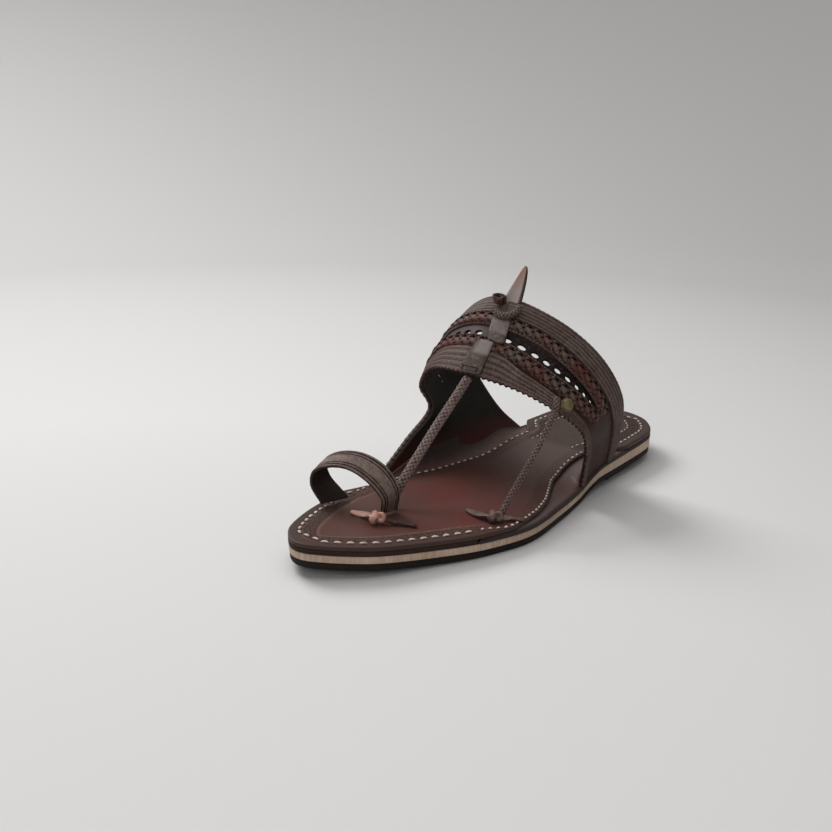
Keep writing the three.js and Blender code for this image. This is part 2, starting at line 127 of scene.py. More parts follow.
def soleEdge(side, s, inset=0.0):
    # squared half-widths run straight into both tips, so the ends are round
    rows = np.array(sole["stations"])
    half = throughRows(rows, (np.array(sole[side]) - middleX(rows)) ** 2, s)
    half = np.maximum(0, np.sqrt(np.maximum(0, half)) - inset)
    return middleX(s) + (half if side == "lateral" else -half)


def footbedEdge(side, s):
    # the outline, cut in at the waist
    rim = soleEdge(side, s)
    cut = throughRows(waist["stations"], waist[side], s)
    inside = (s > waist["stations"][0]) & (s < waist["stations"][-1])
    held = np.maximum(rim, cut) if side == "medial" else np.minimum(rim, cut)
    return np.where(inside, held, rim)


def earEdge(side, s):
    first, last = waist["stations"][0], waist["stations"][-1]
    seam = waist["seam"] * smoothStep((s - first) / waist["fade"]) * smoothStep((last - s) / waist["fade"])
    return footbedEdge(side, s) + (seam if side == "medial" else -seam)


def underside(s):
    heelRise = sole["heelSeat"] * smoothStep((sole["flatFrom"] - s) / sole["heelRamp"])
    ahead = np.clip((s - sole["flatTo"]) / (sole["length"] - sole["flatTo"]), 0, 1)
    return heelRise + sole["toeSpring"] * ahead ** sole["toeCurve"]


def outsoleTop(s):
    return underside(s) + sole["outsole"]


def midsoleTop(s):
    taper = smoothStep((s - sole["taperFrom"]) / sole["taperLength"])
    return outsoleTop(s) + mix(sole["midsoleHeel"], sole["midsoleToe"], taper)


def baseTop(s):
    return midsoleTop(s) + sole["base"]


def footbedTop(s):
    return baseTop(s) + sole["footbed"]


# the frame stands the middle of its box over the origin; the outline tells how far that moved it
outsoleInset = 0.8
everyStation = np.linspace(outsoleInset, sole["length"] - outsoleInset, 4000)


def insetEdge(side, s, inset):
    # the outline drawn in all round, tips included
    total = sole["length"]
    stretched = (s - inset) / (total - 2 * inset) * total
    share = np.clip(s / total, 0, 1)
    return soleEdge(side, stretched, inset * 4 * share * (1 - share))


outlineMiddle = (insetEdge("medial", everyStation, outsoleInset).min()
                 + insetEdge("lateral", everyStation, outsoleInset).max()) / 2
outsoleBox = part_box("outsole")
frameShift = np.array([(outsoleBox[0].x + outsoleBox[1].x) * 500 - outlineMiddle, 0, 0])
print("frame shift", frameShift.round(3))


def toFrame(points):
    return (np.asarray(points, float) + frameShift) * 0.001


# meshes
def buildPiece(name, points, faces, material, replaces=(), uv=None, marks=None, smooth=40):
    # points in millimetres; uv and marks hold a value for each point
    mesh = bpy.data.meshes.new(name)
    mesh.from_pydata(toFrame(points), [], faces)
    for key, values in (marks or {}).items():
        attribute = mesh.attributes.new(key, "FLOAT", "POINT")
        attribute.data.foreach_set("value", np.asarray(values, np.float32).ravel())
    if uv is not None:
        corners = np.zeros(len(mesh.loops), int)
        mesh.loops.foreach_get("vertex_index", corners)
        layer = mesh.uv_layers.new(name="lay")
        layer.data.foreach_set("uv", np.asarray(uv, np.float32)[corners].ravel())
    work = bmesh.new()
    work.from_mesh(mesh)
    bmesh.ops.remove_doubles(work, verts=work.verts, dist=2e-6)
    bmesh.ops.recalc_face_normals(work, faces=work.faces)
    work.to_mesh(mesh)
    work.free()
    mesh.polygons.foreach_set("use_smooth", np.ones(len(mesh.polygons), bool))
    mesh.set_sharp_from_angle(angle=np.radians(smooth))
    mesh.materials.append(material)
    piece = bpy.data.objects.new(name, mesh)
    bpy.context.scene.collection.objects.link(piece)
    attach(piece, "root")
    if replaces:
        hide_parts(*replaces)
    print(name, len(mesh.polygons), "faces")
    return piece


def gridFaces(rows, columns, closed=False):
    # quads between neighbouring rows of points; closed joins the last column to the first
    i = np.arange(rows - 1)[:, None] * columns
    j = np.arange(columns if closed else columns - 1)[None, :]
    k = (j + 1) % columns
    return np.stack([i + j, i + k, i + columns + k, i + columns + j], -1).reshape(-1, 4)


def joined(parts):
    # several (points, faces) as one, the later faces counted on from the earlier points
    starts = np.cumsum([0] + [len(p) for p, f in parts[:-1]])
    faces = [f + n for (p, f), n in zip(parts, starts)]
    return np.concatenate([p for p, f in parts]), np.concatenate(faces)


def distanceTo(line, x, y):
    # shortest distance from every (x, y) to a polyline, piece by piece
    p = np.stack([x.ravel(), y.ravel()], -1).astype(np.float32)
    a, b = line[:-1].astype(np.float32), line[1:].astype(np.float32)
    best = np.full(len(p), 1e9, np.float32)
    for k in range(0, len(a), 60):
        first, step = a[k:k + 60], (b - a)[k:k + 60]
        size = np.maximum((step**2).sum(-1), 1e-9)
        away = p[:, None] - first[None]
        t = np.clip((away * step).sum(-1) / size, 0, 1)
        near = ((away - t[..., None] * step) ** 2).sum(-1)
        best = np.minimum(best, near.min(1))
    return np.sqrt(best).reshape(x.shape)


def slabGrid(spec):
    # rows follow s by a cosine, columns gather towards both rims by a sine
    turn = np.linspace(0, np.pi, spec["rows"] + 1)
    s = spec["from"] + (spec["to"] - spec["from"]) * (1 - np.cos(turn)) / 2
    left, right = spec["left"](s), np.maximum(spec["right"](s), spec["left"](s))
    a = np.sin(np.linspace(-np.pi / 2, np.pi / 2, spec["columns"] + 1))
    x = (left + right)[:, None] / 2 + (right - left)[:, None] / 2 * a[None]
    y = np.broadcast_to(sole["length"] / 2 - s[:, None], x.shape)
    rim = np.concatenate([
        np.stack([left, sole["length"] / 2 - s], -1),
        np.stack([right, sole["length"] / 2 - s], -1)[::-1],
        [[left[0], sole["length"] / 2 - s[0]]],
    ])
    return s, x, y, distanceTo(rim, x, y)


def rimDrop(distance, width, drop):
    # a quarter of an ellipse, width across and drop deep, that rounds a rim over
    t = 1 - np.clip(distance / max(width, 1e-6), 0, 1)
    return drop * (1 - np.sqrt(np.maximum(0, 1 - t * t)))


def slabPiece(name, spec, material, replaces=(), relief=None):
    # each row is a closed ring: across the top, then back along the underside
    s, x, y, rim = slabGrid(spec)
    station = np.broadcast_to(s[:, None], x.shape)
    top = spec["high"](station) - rimDrop(rim, spec["topWidth"], spec["topDrop"])
    low = spec["low"](station) + rimDrop(rim, spec["lowWidth"], spec["lowDrop"])
    if relief is not None:
        top = top + relief(x, y, station, rim)
    upper = np.stack([x, y, top], -1)
    lower = np.stack([x, y, low], -1)[:, ::-1]
    ring = np.concatenate([upper, lower], 1)
    columns = ring.shape[1]
    faces = gridFaces(len(s), columns, closed=True)
    j = np.arange(columns // 2 - 1)
    cap = np.stack([j, j + 1, columns - 2 - j, columns - 1 - j], -1)
    faces = np.concatenate([faces, cap, cap[:, ::-1] + (len(s) - 1) * columns])
    marks = {"rim": np.concatenate([rim, rim[:, ::-1]], 1)}
    return buildPiece(name, ring.reshape(-1, 3), faces, material, replaces, marks=marks)


# shader helpers
class Value:
    # a socket in a material, so that a sum on it reads as a sum
    def __init__(self, finish, socket):
        self.finish = finish
        self.socket = socket

    def math(self, operation, a, b):
        return self.finish.add("Math", {"operation": operation}, {0: a, 1: b})

    def __add__(self, other):
        return self.math("ADD", self, other)

    def __sub__(self, other):
        return self.math("SUBTRACT", self, other)

    def __rsub__(self, other):
        return self.math("SUBTRACT", other, self)

    def __mul__(self, other):
        return self.math("MULTIPLY", self, other)

    def __truediv__(self, other):
        return self.math("DIVIDE", self, other)

    def __pow__(self, other):
        return self.math("POWER", self, other)

    __radd__ = __add__
    __rmul__ = __mul__


class Finish:
    # one material and its nodes
    def __init__(self, name):
        self.material = bpy.data.materials.new(name)
        self.material.use_nodes = True
        self.tree = self.material.node_tree
        self.tree.nodes.clear()

    def add(self, kind, settings, inputs, output=0):
        node = self.tree.nodes.new("ShaderNode" + kind)
        for key, value in settings.items():
            if key == "stops":
                self.setRamp(node.color_ramp, value)
            else:
                setattr(node, key, value)
        for key, value in inputs.items():
            if isinstance(value, Value):
                self.tree.links.new(value.socket, node.inputs[key])
            else:
                node.inputs[key].default_value = value
        return Value(self, node.outputs[output]) if len(node.outputs) else node

    def setRamp(self, ramp, stops):
        while len(ramp.elements) < len(stops):
            ramp.elements.new(0.5)
        for element, (place, tone) in zip(ramp.elements, stops):
            element.position = place
            element.color = (tone, tone, tone, 1)

    def objectPlace(self):
        return self.add("TexCoord", {}, {}, "Object")

    def mark(self, name):
        return self.add("Attribute", {"attribute_name": name}, {}, "Fac")

    def uvPlace(self, along, across):
        # the piece's own map, stretched by a number along and a number across
        uv = self.add("UVMap", {"uv_map": "lay"}, {})
        return self.add("Mapping", {}, {"Vector": uv, "Scale": (along, across, 1)})

    def noise(self, place, scale, detail=4.0, rough=0.55):
        return self.add("TexNoise", {}, {"Vector": place, "Scale": scale, "Detail": detail,
                                         "Roughness": rough})

    def cells(self, place, scale, feature="F1"):
        return self.add("TexVoronoi", {"feature": feature}, {"Vector": place, "Scale": scale})

    def ramp(self, value, *stops):
        return self.add("ValToRGB", {"stops": stops}, {"Fac": value})

    def blend(self, share, a, b, mode="MIX"):
        settings = {"data_type": "RGBA", "blend_type": mode}
        return self.add("Mix", settings, {0: share, 6: a, 7: b}, 2)

    def bump(self, height, strength, distance, under=None):
        inputs = {"Height": height, "Strength": strength, "Distance": distance}
        if under is not None:
            inputs["Normal"] = under
        return self.add("Bump", {}, inputs)

    def surface(self, colour, roughness, normal=None, **fixed):
        inputs = {"Base Color": colour, "Roughness": roughness}
        inputs.update({key.replace("_", " "): value for key, value in fixed.items()})
        if normal is not None:
            inputs["Normal"] = normal
        shader = self.add("BsdfPrincipled", {}, inputs)
        self.add("OutputMaterial", {}, {"Surface": shader})
        return self.material


def tone(code):
    # a colour written as six hexadecimal digits, made linear
    parts = [int(code[k:k + 2], 16) / 255 for k in (0, 2, 4)]
    linear = [c / 12.92 if c < 0.04045 else ((c + 0.055) / 1.055) ** 2.4 for c in parts]
    return (*linear, 1.0)


# leathers
leather = {
    "specular": 0.22,
    "pore": 900.0,
    "grain": 260.0,
}


def grainBump(finish, place, depth=1.0):
    # fine pores over a soft pebble
    pores = finish.noise(place, leather["pore"], 3.0, 0.6)
    pebble = finish.cells(place, leather["grain"] * 2.2, "SMOOTH_F1")
    low = finish.noise(place, leather["grain"] * 0.4, 3.0)
    height = pores * 0.5 + pebble * 0.35 + low * 0.5
    return finish.bump(height, 0.35 * depth, 0.0004)


def plainLeather(name, dark, mid, light, roughness=0.5, depth=1.0, patch=28.0):
    # soft patches of three tones, small scuffs lighter and duller
    finish = Finish(name)
    place = finish.objectPlace()
    large = finish.ramp(finish.noise(place, patch, 3.0), (0.32, 0), (0.68, 1))
    small = finish.ramp(finish.noise(place, patch * 7, 5.0, 0.65), (0.42, 0), (0.75, 1))
    colour = finish.blend(large, tone(dark), tone(mid))
    colour = finish.blend(small * 0.55, colour, tone(light))
    rough = roughness + finish.noise(place, patch * 3, 2.0) * 0.2 - 0.06
    return finish.surface(colour, rough, grainBump(finish, place, depth),
                          Specular_IOR_Level=leather["specular"])


def footbedLeather():
    # polished red-brown in the middle, tooled border band beside the stitches, hatched heel
    finish = Finish("footbedLeather")
    place = finish.objectPlace()
    patches = finish.ramp(finish.noise(place, 17.0, 2.0, 0.4), (0.38, 0), (0.64, 1))
    smoky = finish.ramp(finish.noise(place, 30.0, 3.0, 0.5), (0.45, 0), (0.72, 1))
    colour = finish.blend(patches, tone("54372f"), tone("602b26"))
    colour = finish.blend(smoky * 0.6, colour, tone("4d3e38"))
    red = finish.mark("redness")
    colour = finish.blend(red, tone("56453f"), colour)
    fine = finish.noise(place, 420.0, 4.0, 0.7)
    tooled = finish.mark("tooled")
    speck = finish.ramp(finish.cells(place, 760.0), (0.12, 0), (0.5, 1))
    colour = finish.blend(tooled * 0.95, colour, finish.blend(speck, tone("150e0b"), tone("4c372f")))
    colour = finish.blend(finish.mark("line") * 0.55, colour, tone("7f665b"))
    hatch = finish.mark("hatched")
    lines = finish.add("TexWave", {"bands_direction": "DIAGONAL"},
                       {"Vector": place, "Scale": 420.0, "Distortion": 3.0, "Detail": 2.0,
                        "Detail Scale": 2.0})
    colour = finish.blend(hatch * 0.7, colour, finish.blend(lines, tone("2f2622"), tone("4e4039")))
    brown = finish.blend(fine, tone("33251f"), tone("4a3931"))
    colour = finish.blend(finish.mark("border") * 0.8, colour, brown)
    edge = finish.ramp(finish.mark("rim") / 2.2, (0.1, 1), (0.9, 0))
    colour = finish.blend(edge * finish.ramp(fine, (0.3, 0.2), (0.7, 0.8)), colour, tone("3f2f29"))
    height = fine * 0.25 + tooled * speck * 1.2 + hatch * lines * 0.8
    normal = finish.bump(height, 0.6, 0.0007)
    rough = 0.42 + tooled * 0.25 + hatch * 0.2 + finish.noise(place, 60.0, 3.0) * 0.16
    return finish.surface(colour, rough, normal, Specular_IOR_Level=0.2)


def edgeLeather(name, dark, light, streak=1.0):
    # the cut side of a layer: thin lines along it and small crumbs
    finish = Finish(name)
    place = finish.objectPlace()
    flat = finish.add("Mapping", {}, {"Vector": place, "Scale": (40, 40, 900)})
    lines = finish.noise(flat, 1.0, 4.0, 0.6)
    crumbs = finish.noise(place, 520.0, 4.0, 0.7)
    patch = finish.noise(place, 40.0, 3.0)
    share = finish.ramp(lines * 0.5 + crumbs * 0.3 + patch * 0.3, (0.38, 0), (0.75, 1))
    colour = finish.blend(share, tone(dark), tone(light))
    normal = finish.bump(lines * streak + crumbs * 0.6, 0.4, 0.0005)
    return finish.surface(colour, 0.62 + patch * 0.15, normal, Specular_IOR_Level=0.2)


def midsoleLeather():
    # undyed tan edge: upright fibres, darker dirt in patches
    finish = Finish("midsoleLeather")
    place = finish.objectPlace()
    upright = finish.add("Mapping", {}, {"Vector": place, "Scale": (900, 900, 90)})
    fibres = finish.noise(upright, 1.0, 4.0, 0.6)
    patch = finish.noise(place, 26.0, 4.0, 0.6)
    colour = finish.blend(finish.ramp(fibres, (0.3, 0), (0.7, 1)), tone("ac937f"), tone("d6bea8"))
    colour = finish.blend(finish.ramp(patch, (0.45, 0), (0.8, 1)) * 0.7, colour, tone("997f6b"))
    normal = finish.bump(fibres, 0.35, 0.0004)
    return finish.surface(colour, 0.6, normal, Specular_IOR_Level=0.25)


def stripLeather(name, dark, mid, light, red, redShare=0.0, depth=1.0):
    # streaks along the strip; painted shade darkens the grooves, and rubbed wear mixed with a painted
    # highlight lightens the crests
    finish = Finish(name)
    place = finish.objectPlace()
    streaks = finish.noise(finish.uvPlace(0.09, 1.4), 1.0, 5.0, 0.65)
    crumbs = finish.noise(place, 380.0, 4.0, 0.7)
    crest = finish.mark("crest")
    patch = finish.ramp(finish.noise(place, 48.0, 3.0), (0.4, 0), (0.66, 1))
    colour = finish.blend(finish.ramp(streaks, (0.34, 0), (0.66, 1)), tone(dark), tone(mid))
    # painted highlight where crest is high, mixed with rubbed wear from crumbs and streaks
    rubbedWearAndHighlight = finish.ramp(crest * 0.55 + crumbs * 0.6 + streaks * 0.25, (0.62, 0), (0.98, 1))
    colour = finish.blend(rubbedWearAndHighlight * 0.8, colour, tone(light))
    colour = finish.blend(patch * redShare, colour, tone(red))
    # painted shade where crest is low: grooves, strip edges and inner faces go near black
    paintedGrooveShade = finish.ramp(crest, (0.0, 1), (0.4, 0))
    colour = finish.blend(paintedGrooveShade * 0.85, colour, tone("120c0a"))
    normal = finish.bump(streaks * 0.6 + crumbs * 0.7, 0.55 * depth, 0.0006)
    return finish.surface(colour, 0.5 + crumbs * 0.22, normal, Specular_IOR_Level=0.24)


def threadFinish():
    finish = Finish("waxedThread")
    place = finish.objectPlace()
    dirt = finish.ramp(finish.noise(place, 260.0, 3.0), (0.35, 0), (0.8, 1))
    twist = finish.noise(place, 1900.0, 2.0)
    colour = finish.blend(dirt, tone("d8ccc4"), tone("a8958c"))
    return finish.surface(colour, 0.75, finish.bump(twist, 0.4, 0.0002), Specular_IOR_Level=0.2)


def rivetBrass():
    # aged brass: olive patina with a few bright rubs
    finish = Finish("rivetBrass")
    place = finish.objectPlace()
    patina = finish.ramp(finish.noise(place, 420.0, 4.0, 0.6), (0.4, 0), (0.7, 1))
    colour = finish.blend(patina, tone("5e5138"), tone("8a7a52"))
    rough = 0.5 - patina * 0.15
    return finish.surface(colour, rough, finish.bump(patina, 0.15, 0.0003), Metallic=0.35)


def leafLeather():
    # grey at the foot, warm tan to the tip, dark along the cut
    finish = Finish("leafLeather")
    height = finish.mark("height")
    grain = finish.noise(finish.uvPlace(0.5, 1.6), 1.0, 5.0, 0.65)
    colour = finish.blend(finish.ramp(height, (0.3, 0), (0.7, 1)), tone("a0938c"), tone("a07c6c"))
    colour = finish.blend(finish.ramp(grain, (0.4, 0), (0.8, 1)) * 0.6, colour, tone("b6a69e"))
    colour = finish.blend(finish.mark("cutEdge"), colour, tone("2a1712"))
    return finish.surface(colour, 0.55, finish.bump(grain, 0.5, 0.0004), Specular_IOR_Level=0.25)


# the sole
soleRim = {"rows": 180, "columns": 32, "topWidth": 0.5, "topDrop": 0.4, "lowWidth": 0.5, "lowDrop": 0.4}


def soleLayer(inset, low, high, **changes):
    spec = dict(soleRim, low=low, high=high)
    spec["from"] = inset
    spec["to"] = sole["length"] - inset
    spec["left"] = lambda s: insetEdge("medial", s, inset)
    spec["right"] = lambda s: insetEdge("lateral", s, inset)
    spec.update(changes)
    return spec


outsoleSpec = soleLayer(0.8, underside, lambda s: outsoleTop(s) - 0.05, lowWidth=1.6, lowDrop=1.2)
slabPiece("outsole_leather", outsoleSpec, edgeLeather("outsoleEdge", "150f0d", "261d19"),
          ["outsole"])

heelLift = {"from": 7.0, "to": 72.0, "inset": 5.0, "corner": 12.0, "behind": 5.6}


def heelEdge(side, s):
    drawnIn = heelLift["inset"] * smoothStep((s - heelLift["from"]) / heelLift["corner"])
    return soleEdge(side, s - heelLift["behind"], drawnIn)


heelSpec = dict(soleRim, rows=120, low=lambda s: s * 0, high=lambda s: s * 0 + sole["heelSeat"] - 0.05)
heelSpec.update({"left": lambda s: heelEdge("medial", s), "right": lambda s: heelEdge("lateral", s)})
heelSpec.update({"from": heelLift["from"], "to": heelLift["to"], "lowWidth": 0.8, "lowDrop": 0.6})
slabPiece("heel_leather", heelSpec, edgeLeather("heelEdge", "1a1310", "332723"),
          ["heel_lift"])

midsoleSpec = soleLayer(0.3, outsoleTop, lambda s: midsoleTop(s) - 0.05, lowWidth=0.7, lowDrop=0.45)
slabPiece("midsole_leather", midsoleSpec, midsoleLeather(), ["midsole"])


def baseEdge(side, s):
    # the rim, or beside an ear that ear's inner edge
    first, last = waist["stations"][0] + 1.2, waist["stations"][-1] - 1.2
    beside = earEdge(side, s) + (sole["gap"] if side == "medial" else -sole["gap"])
    return np.where((s > first) & (s < last), beside, soleEdge(side, s))


baseSpec = soleLayer(0.0, midsoleTop, lambda s: baseTop(s) - 0.05, rows=220, lowWidth=0.4, lowDrop=0.3)
baseSpec.update({"left": lambda s: baseEdge("medial", s), "right": lambda s: baseEdge("lateral", s)})
baseSpec.update({"topWidth": 0.3, "topDrop": 0.2})
sideLeather = edgeLeather("baseEdgeLeather", "231611", "3b2923")
slabPiece("base_leather", baseSpec, sideLeather, ["insole_base"])

# stitch lines on the footbed
stitches = {
    "inset": 5.6,
    "waistInset": 1.5,
    "waistFrom": 66.0,
    "waistTo": 204.0,
    "blend": 14.0,
    "innerInset": 14.0,
    "innerFrom": 8.0,
    "innerTo": 84.0,
}


def stitchLine(side, s, inner=False):
    # the footbed's edge moved inwards along its normal; closer to the edge at the waist
    ahead = smoothStep((s - stitches["waistFrom"]) / stitches["blend"])
    behind = smoothStep((stitches["waistTo"] - s) / stitches["blend"])
    inset = mix(stitches["inset"], stitches["waistInset"], ahead * behind)
    if inner:
        inset = np.full(s.shape, stitches["innerInset"]) - 3.5 * smoothStep((s - 60) / 24)
    x = footbedEdge(side, s)
    y = sole["length"] / 2 - s
    dx, dy = np.gradient(x), np.gradient(y)
    size = np.maximum(np.hypot(dx, dy), 1e-9)
    inward = 1.0 if side == "medial" else -1.0
    return np.stack([x - inward * dy / size * inset, y + inward * dx / size * inset], -1)


def ringStations(first, last, count):
    # stations gathered towards an end by a cosine, as the outline turns fastest there
    t = np.linspace(0, 1, count)
    return first + (last - first) * (1 - np.cos(t * np.pi)) / 2


allStations = ringStations(0, sole["length"], 900)
medialLine = stitchLine("medial", allStations)
lateralLine = stitchLine("lateral", allStations)


def between(line, s, first, last):
    return line[(s >= first) & (s <= last)]


toeFrom, heelTo = stitches["waistTo"], stitches["waistFrom"] + 4
insideTips = (allStations > 5.6) & (allStations < sole["length"] - 5.6)
runs = {
    "toe": np.concatenate([
        between(medialLine[insideTips], allStations[insideTips], toeFrom, 280),
        between(lateralLine[insideTips], allStations[insideTips], toeFrom, 280)[::-1],
    ]),
    "heel": np.concatenate([
        between(medialLine[insideTips], allStations[insideTips], 0, heelTo)[::-1],
        between(lateralLine[insideTips], allStations[insideTips], 0, heelTo),
    ]),
    "medialWaist": between(medialLine, allStations, heelTo, toeFrom),
    "lateralWaist": between(lateralLine, allStations, heelTo, toeFrom),
}
innerStations = ringStations(stitches["innerFrom"], stitches["innerTo"], 300)
runs["innerHeel"] = np.concatenate([
    stitchLine("medial", innerStations, True)[::-1],
    stitchLine("lateral", innerStations, True),
])


footbedOutline = np.concatenate([
    np.stack([footbedEdge("medial", allStations), sole["length"] / 2 - allStations], -1),
    np.stack([footbedEdge("lateral", allStations), sole["length"] / 2 - allStations], -1)[::-1],
])


def keptFar(line, inner):
    # keeps the points as far from the rim as they should be: where an inward offset has
    # turned back on itself it's nearer
    along = sole["length"] / 2 - line[:, 1]
    ahead = smoothStep((along - stitches["waistFrom"]) / stitches["blend"])
    behind = smoothStep((stitches["waistTo"] - along) / stitches["blend"])
    wanted = mix(stitches["inset"], stitches["waistInset"], ahead * behind)
    away = distanceTo(footbedOutline, line[:, 0], line[:, 1])
    wanted = stitches["innerInset"] - 3.8 if inner else wanted - 0.45
    return line[away > wanted]


runs = {key: keptFar(line, key == "innerHeel") for key, line in runs.items()}


def footbedRelief(x, y, s, rim):
    # grooves under the stitches, a faint line inside the border, a soft hollow for the foot
    relief = np.zeros(x.shape)
    for line in runs.values():
        relief = relief - 0.32 * np.exp(-((distanceTo(line, x, y) / 0.9) ** 2))
    border = stitches["inset"] + 9.0
    relief = relief - 0.18 * np.exp(-(((rim - border) / 0.5) ** 2)) * smoothStep((s - 196) / 14)
    press = np.exp(-(((s - 195) / 34) ** 2) - ((x - 3) / 30) ** 2)
    heelPress = np.exp(-(((s - 42) / 26) ** 2) - (x / 20) ** 2)
    return relief - 0.5 * press - 0.5 * heelPress


footbedSpec = dict(soleRim, rows=370, columns=88, low=baseTop, high=footbedTop)
footbedSpec.update({"from": 0.0, "to": sole["length"], "topWidth": 1.1, "topDrop": 0.8})
footbedSpec.update({"left": lambda s: footbedEdge("medial", s),
                    "right": lambda s: footbedEdge("lateral", s)})
footbed = slabPiece("footbed_leather", footbedSpec, footbedLeather(), ["footbed"],
                    footbedRelief)


def markFootbed(piece):
    # tooled: a band beside the stitches; hatched: the heel seat; redness: all but the waist
    mesh = piece.data
    place = np.zeros(len(mesh.vertices) * 3)
    mesh.vertices.foreach_get("co", place)
    place = place.reshape(-1, 3) * 1000 - frameShift
    rim = np.zeros(len(mesh.vertices))
    mesh.attributes["rim"].data.foreach_get("value", rim)
    s = sole["length"] / 2 - place[:, 1]
    ahead = smoothStep((s - stitches["waistFrom"]) / 20) * smoothStep((stitches["waistTo"] + 6 - s) / 20)
    inset = mix(stitches["inset"], stitches["waistInset"], ahead)
    band = smoothStep((rim - inset - 1.2) / 0.8) * smoothStep((inset + 8.2 - rim) / 1.2)
    marks = {"tooled": band * mix(1, 0.35, ahead)}
    marks["line"] = np.exp(-(((rim - inset - 8.8) / 0.55) ** 2)) * smoothStep((s - 190) / 14)
    marks["border"] = smoothStep((inset + 0.6 - rim) / 1.2)
    marks["hatched"] = smoothStep((88 - s) / 10) * smoothStep((rim - inset - 1.5) / 1.5)
    marks["redness"] = smoothStep((s - 96) / 40)
    for key, values in marks.items():
        attribute = mesh.attributes.new(key, "FLOAT", "POINT")
        attribute.data.foreach_set("value", values.astype(np.float32))


markFootbed(footbed)


def alongLine(line, pitch, offset=0.5):
    # points and directions at equal steps along a polyline
    steps = np.hypot(*np.diff(line, axis=0).T)
    travelled = np.concatenate([[0], np.cumsum(steps)])
    at = np.arange(offset * pitch, travelled[-1], pitch)
    place = np.stack([np.interp(at, travelled, line[:, k]) for k in (0, 1)], -1)
    ahead = np.stack([np.interp(at + 0.6, travelled, line[:, k]) for k in (0, 1)], -1)
    behind = np.stack([np.interp(at - 0.6, travelled, line[:, k]) for k in (0, 1)], -1)
    way = ahead - behind
    return place, way / np.maximum(np.hypot(way[:, 0], way[:, 1]), 1e-9)[:, None]


def stitchMesh(line, pitch, length, width, height, lift=0.0):
    # each stitch is a low arched ellipsoid: 5 rings of 8 points along its length, ends sunk
    place, way = alongLine(line, pitch)
    ring = np.linspace(-1, 1, 7)
    turn = np.linspace(0, 2 * np.pi, 8, endpoint=False)
    girth = np.sqrt(np.maximum(0, 1 - ring**2)) ** 0.7
    along = ring[:, None] * length / 2 + 0 * turn[None]
    side = girth[:, None] * np.cos(turn)[None] * width / 2
    up = girth[:, None] * np.sin(turn)[None] * height / 2 + (1 - ring[:, None] ** 2) * height * 0.35
    wobble = 0.12 * np.sin(np.arange(len(place)) * 2.4)
    turned = np.stack([way[:, 0] - wobble * way[:, 1], way[:, 1] + wobble * way[:, 0]], -1)
    side2 = np.stack([-turned[:, 1], turned[:, 0]], -1)
    flat = place[:, None, None] + along[None, ..., None] * turned[:, None, None]
    flat = flat + side[None, ..., None] * side2[:, None, None]
    floor = footbedTop(sole["length"] / 2 - flat[..., 1]) + lift
    points = np.concatenate([flat, (floor + up[None])[..., None]], -1)
    faces = gridFaces(7, 8, closed=True)
    count = len(place)
    starts = (np.arange(count) * 56)[:, None, None]
    return points.reshape(-1, 3), (faces[None] + starts).reshape(-1, 4)


thread = threadFinish()
stitchRuns = [
    stitchMesh(runs["toe"], 6.1, 4.2, 1.7, 1.0),
    stitchMesh(runs["heel"], 5.0, 3.0, 1.15, 0.7),
    stitchMesh(runs["medialWaist"], 4.8, 2.6, 1.2, 0.8),
    stitchMesh(runs["lateralWaist"], 4.1, 2.1, 1.25, 0.9),
    stitchMesh(runs["innerHeel"], 4.4, 2.4, 0.9, 0.6),
]
points, faces = joined(stitchRuns)
buildPiece("footbed_stitches", points, faces, thread, smooth=80)
print("sole made")

# the band
bandShape = {
    "front": [(-45.5, -48, 9.5), (-42.5, -21, 31), (-41, -3, 46), (-43, -8.5, 59), (-35, -10.5, 71),
              (-8, -17, 76),
              (24, -8, 70), (45, 2, 59), (51, 15.5, 45.5), (48, 24.5, 30), (44, 27.3, 9.5)],
    "rear": [(-34, 75, 15), (-40.5, 61, 30), (-46, 49, 49), (-48.5, 38, 69), (-43, 28.5, 90.8),
             (-13, 21, 110),
             (21.5, 27, 102), (43, 39, 83), (50, 53.5, 57.5), (46, 60, 35), (39.5, 65, 15)],
    "bow": [0, 0, 1.5, 3, 2.8, 2.4, 2.5, 2.5, 1.5, 0.5, 0],
    "middle": (0, 25, 35),
    "wall": 2.8,
    "columns": 900,
    "rows": 150,
    "below": -0.15,
    "above": 1.15,
}


def crossed(a, b):
    n = np.cross(a, b)
    return n / np.maximum(np.linalg.norm(n, axis=-1, keepdims=True), 1e-9)


def loftTable(shape, footOn=None):
    # points on straight lines between two edge curves, bowed out along their normal by
    # 4 v (1 - v) bow, kept with the normals of the bowed surface on a fine grid
    u, v = np.meshgrid(np.linspace(0, 1, shape["columns"]),
                       np.linspace(shape["below"], shape["above"], shape["rows"]),
                       indexing="ij")
    span = len(shape["front"]) - 1
    place = mix(catmullRom(shape["front"], u), catmullRom(shape["rear"], u), v[..., None])
    if footOn is not None:
        for end in (0, 1):
            share = (1 - smoothStep(np.abs(u - end) * span))[..., None]
            foot = mix(np.array(shape["front"][-end], float), np.array(shape["rear"][-end], float),
                       v[..., None])
            place = place + share * (footOn(end, foot[..., 1]) - foot)

    def outward(grid):
        n = crossed(np.gradient(grid, axis=0), np.gradient(grid, axis=1))
        facing = ((grid - np.array(shape["middle"])) * n).sum(-1, keepdims=True)
        return np.where(facing < 0, -n, n)

    bow = np.interp(u * span, np.arange(span + 1), shape["bow"])
    place = place + outward(place) * (4 * v * (1 - v) * bow)[..., None]
    return place, outward(place)


def rimFoot(end, y):
    s = sole["length"] / 2 - y
    x = soleEdge("medial", s) + 0.5 if end == 0 else soleEdge("lateral", s) - 0.5
    return np.stack([x, y, midsoleTop(s) + sole["base"] / 2], -1)


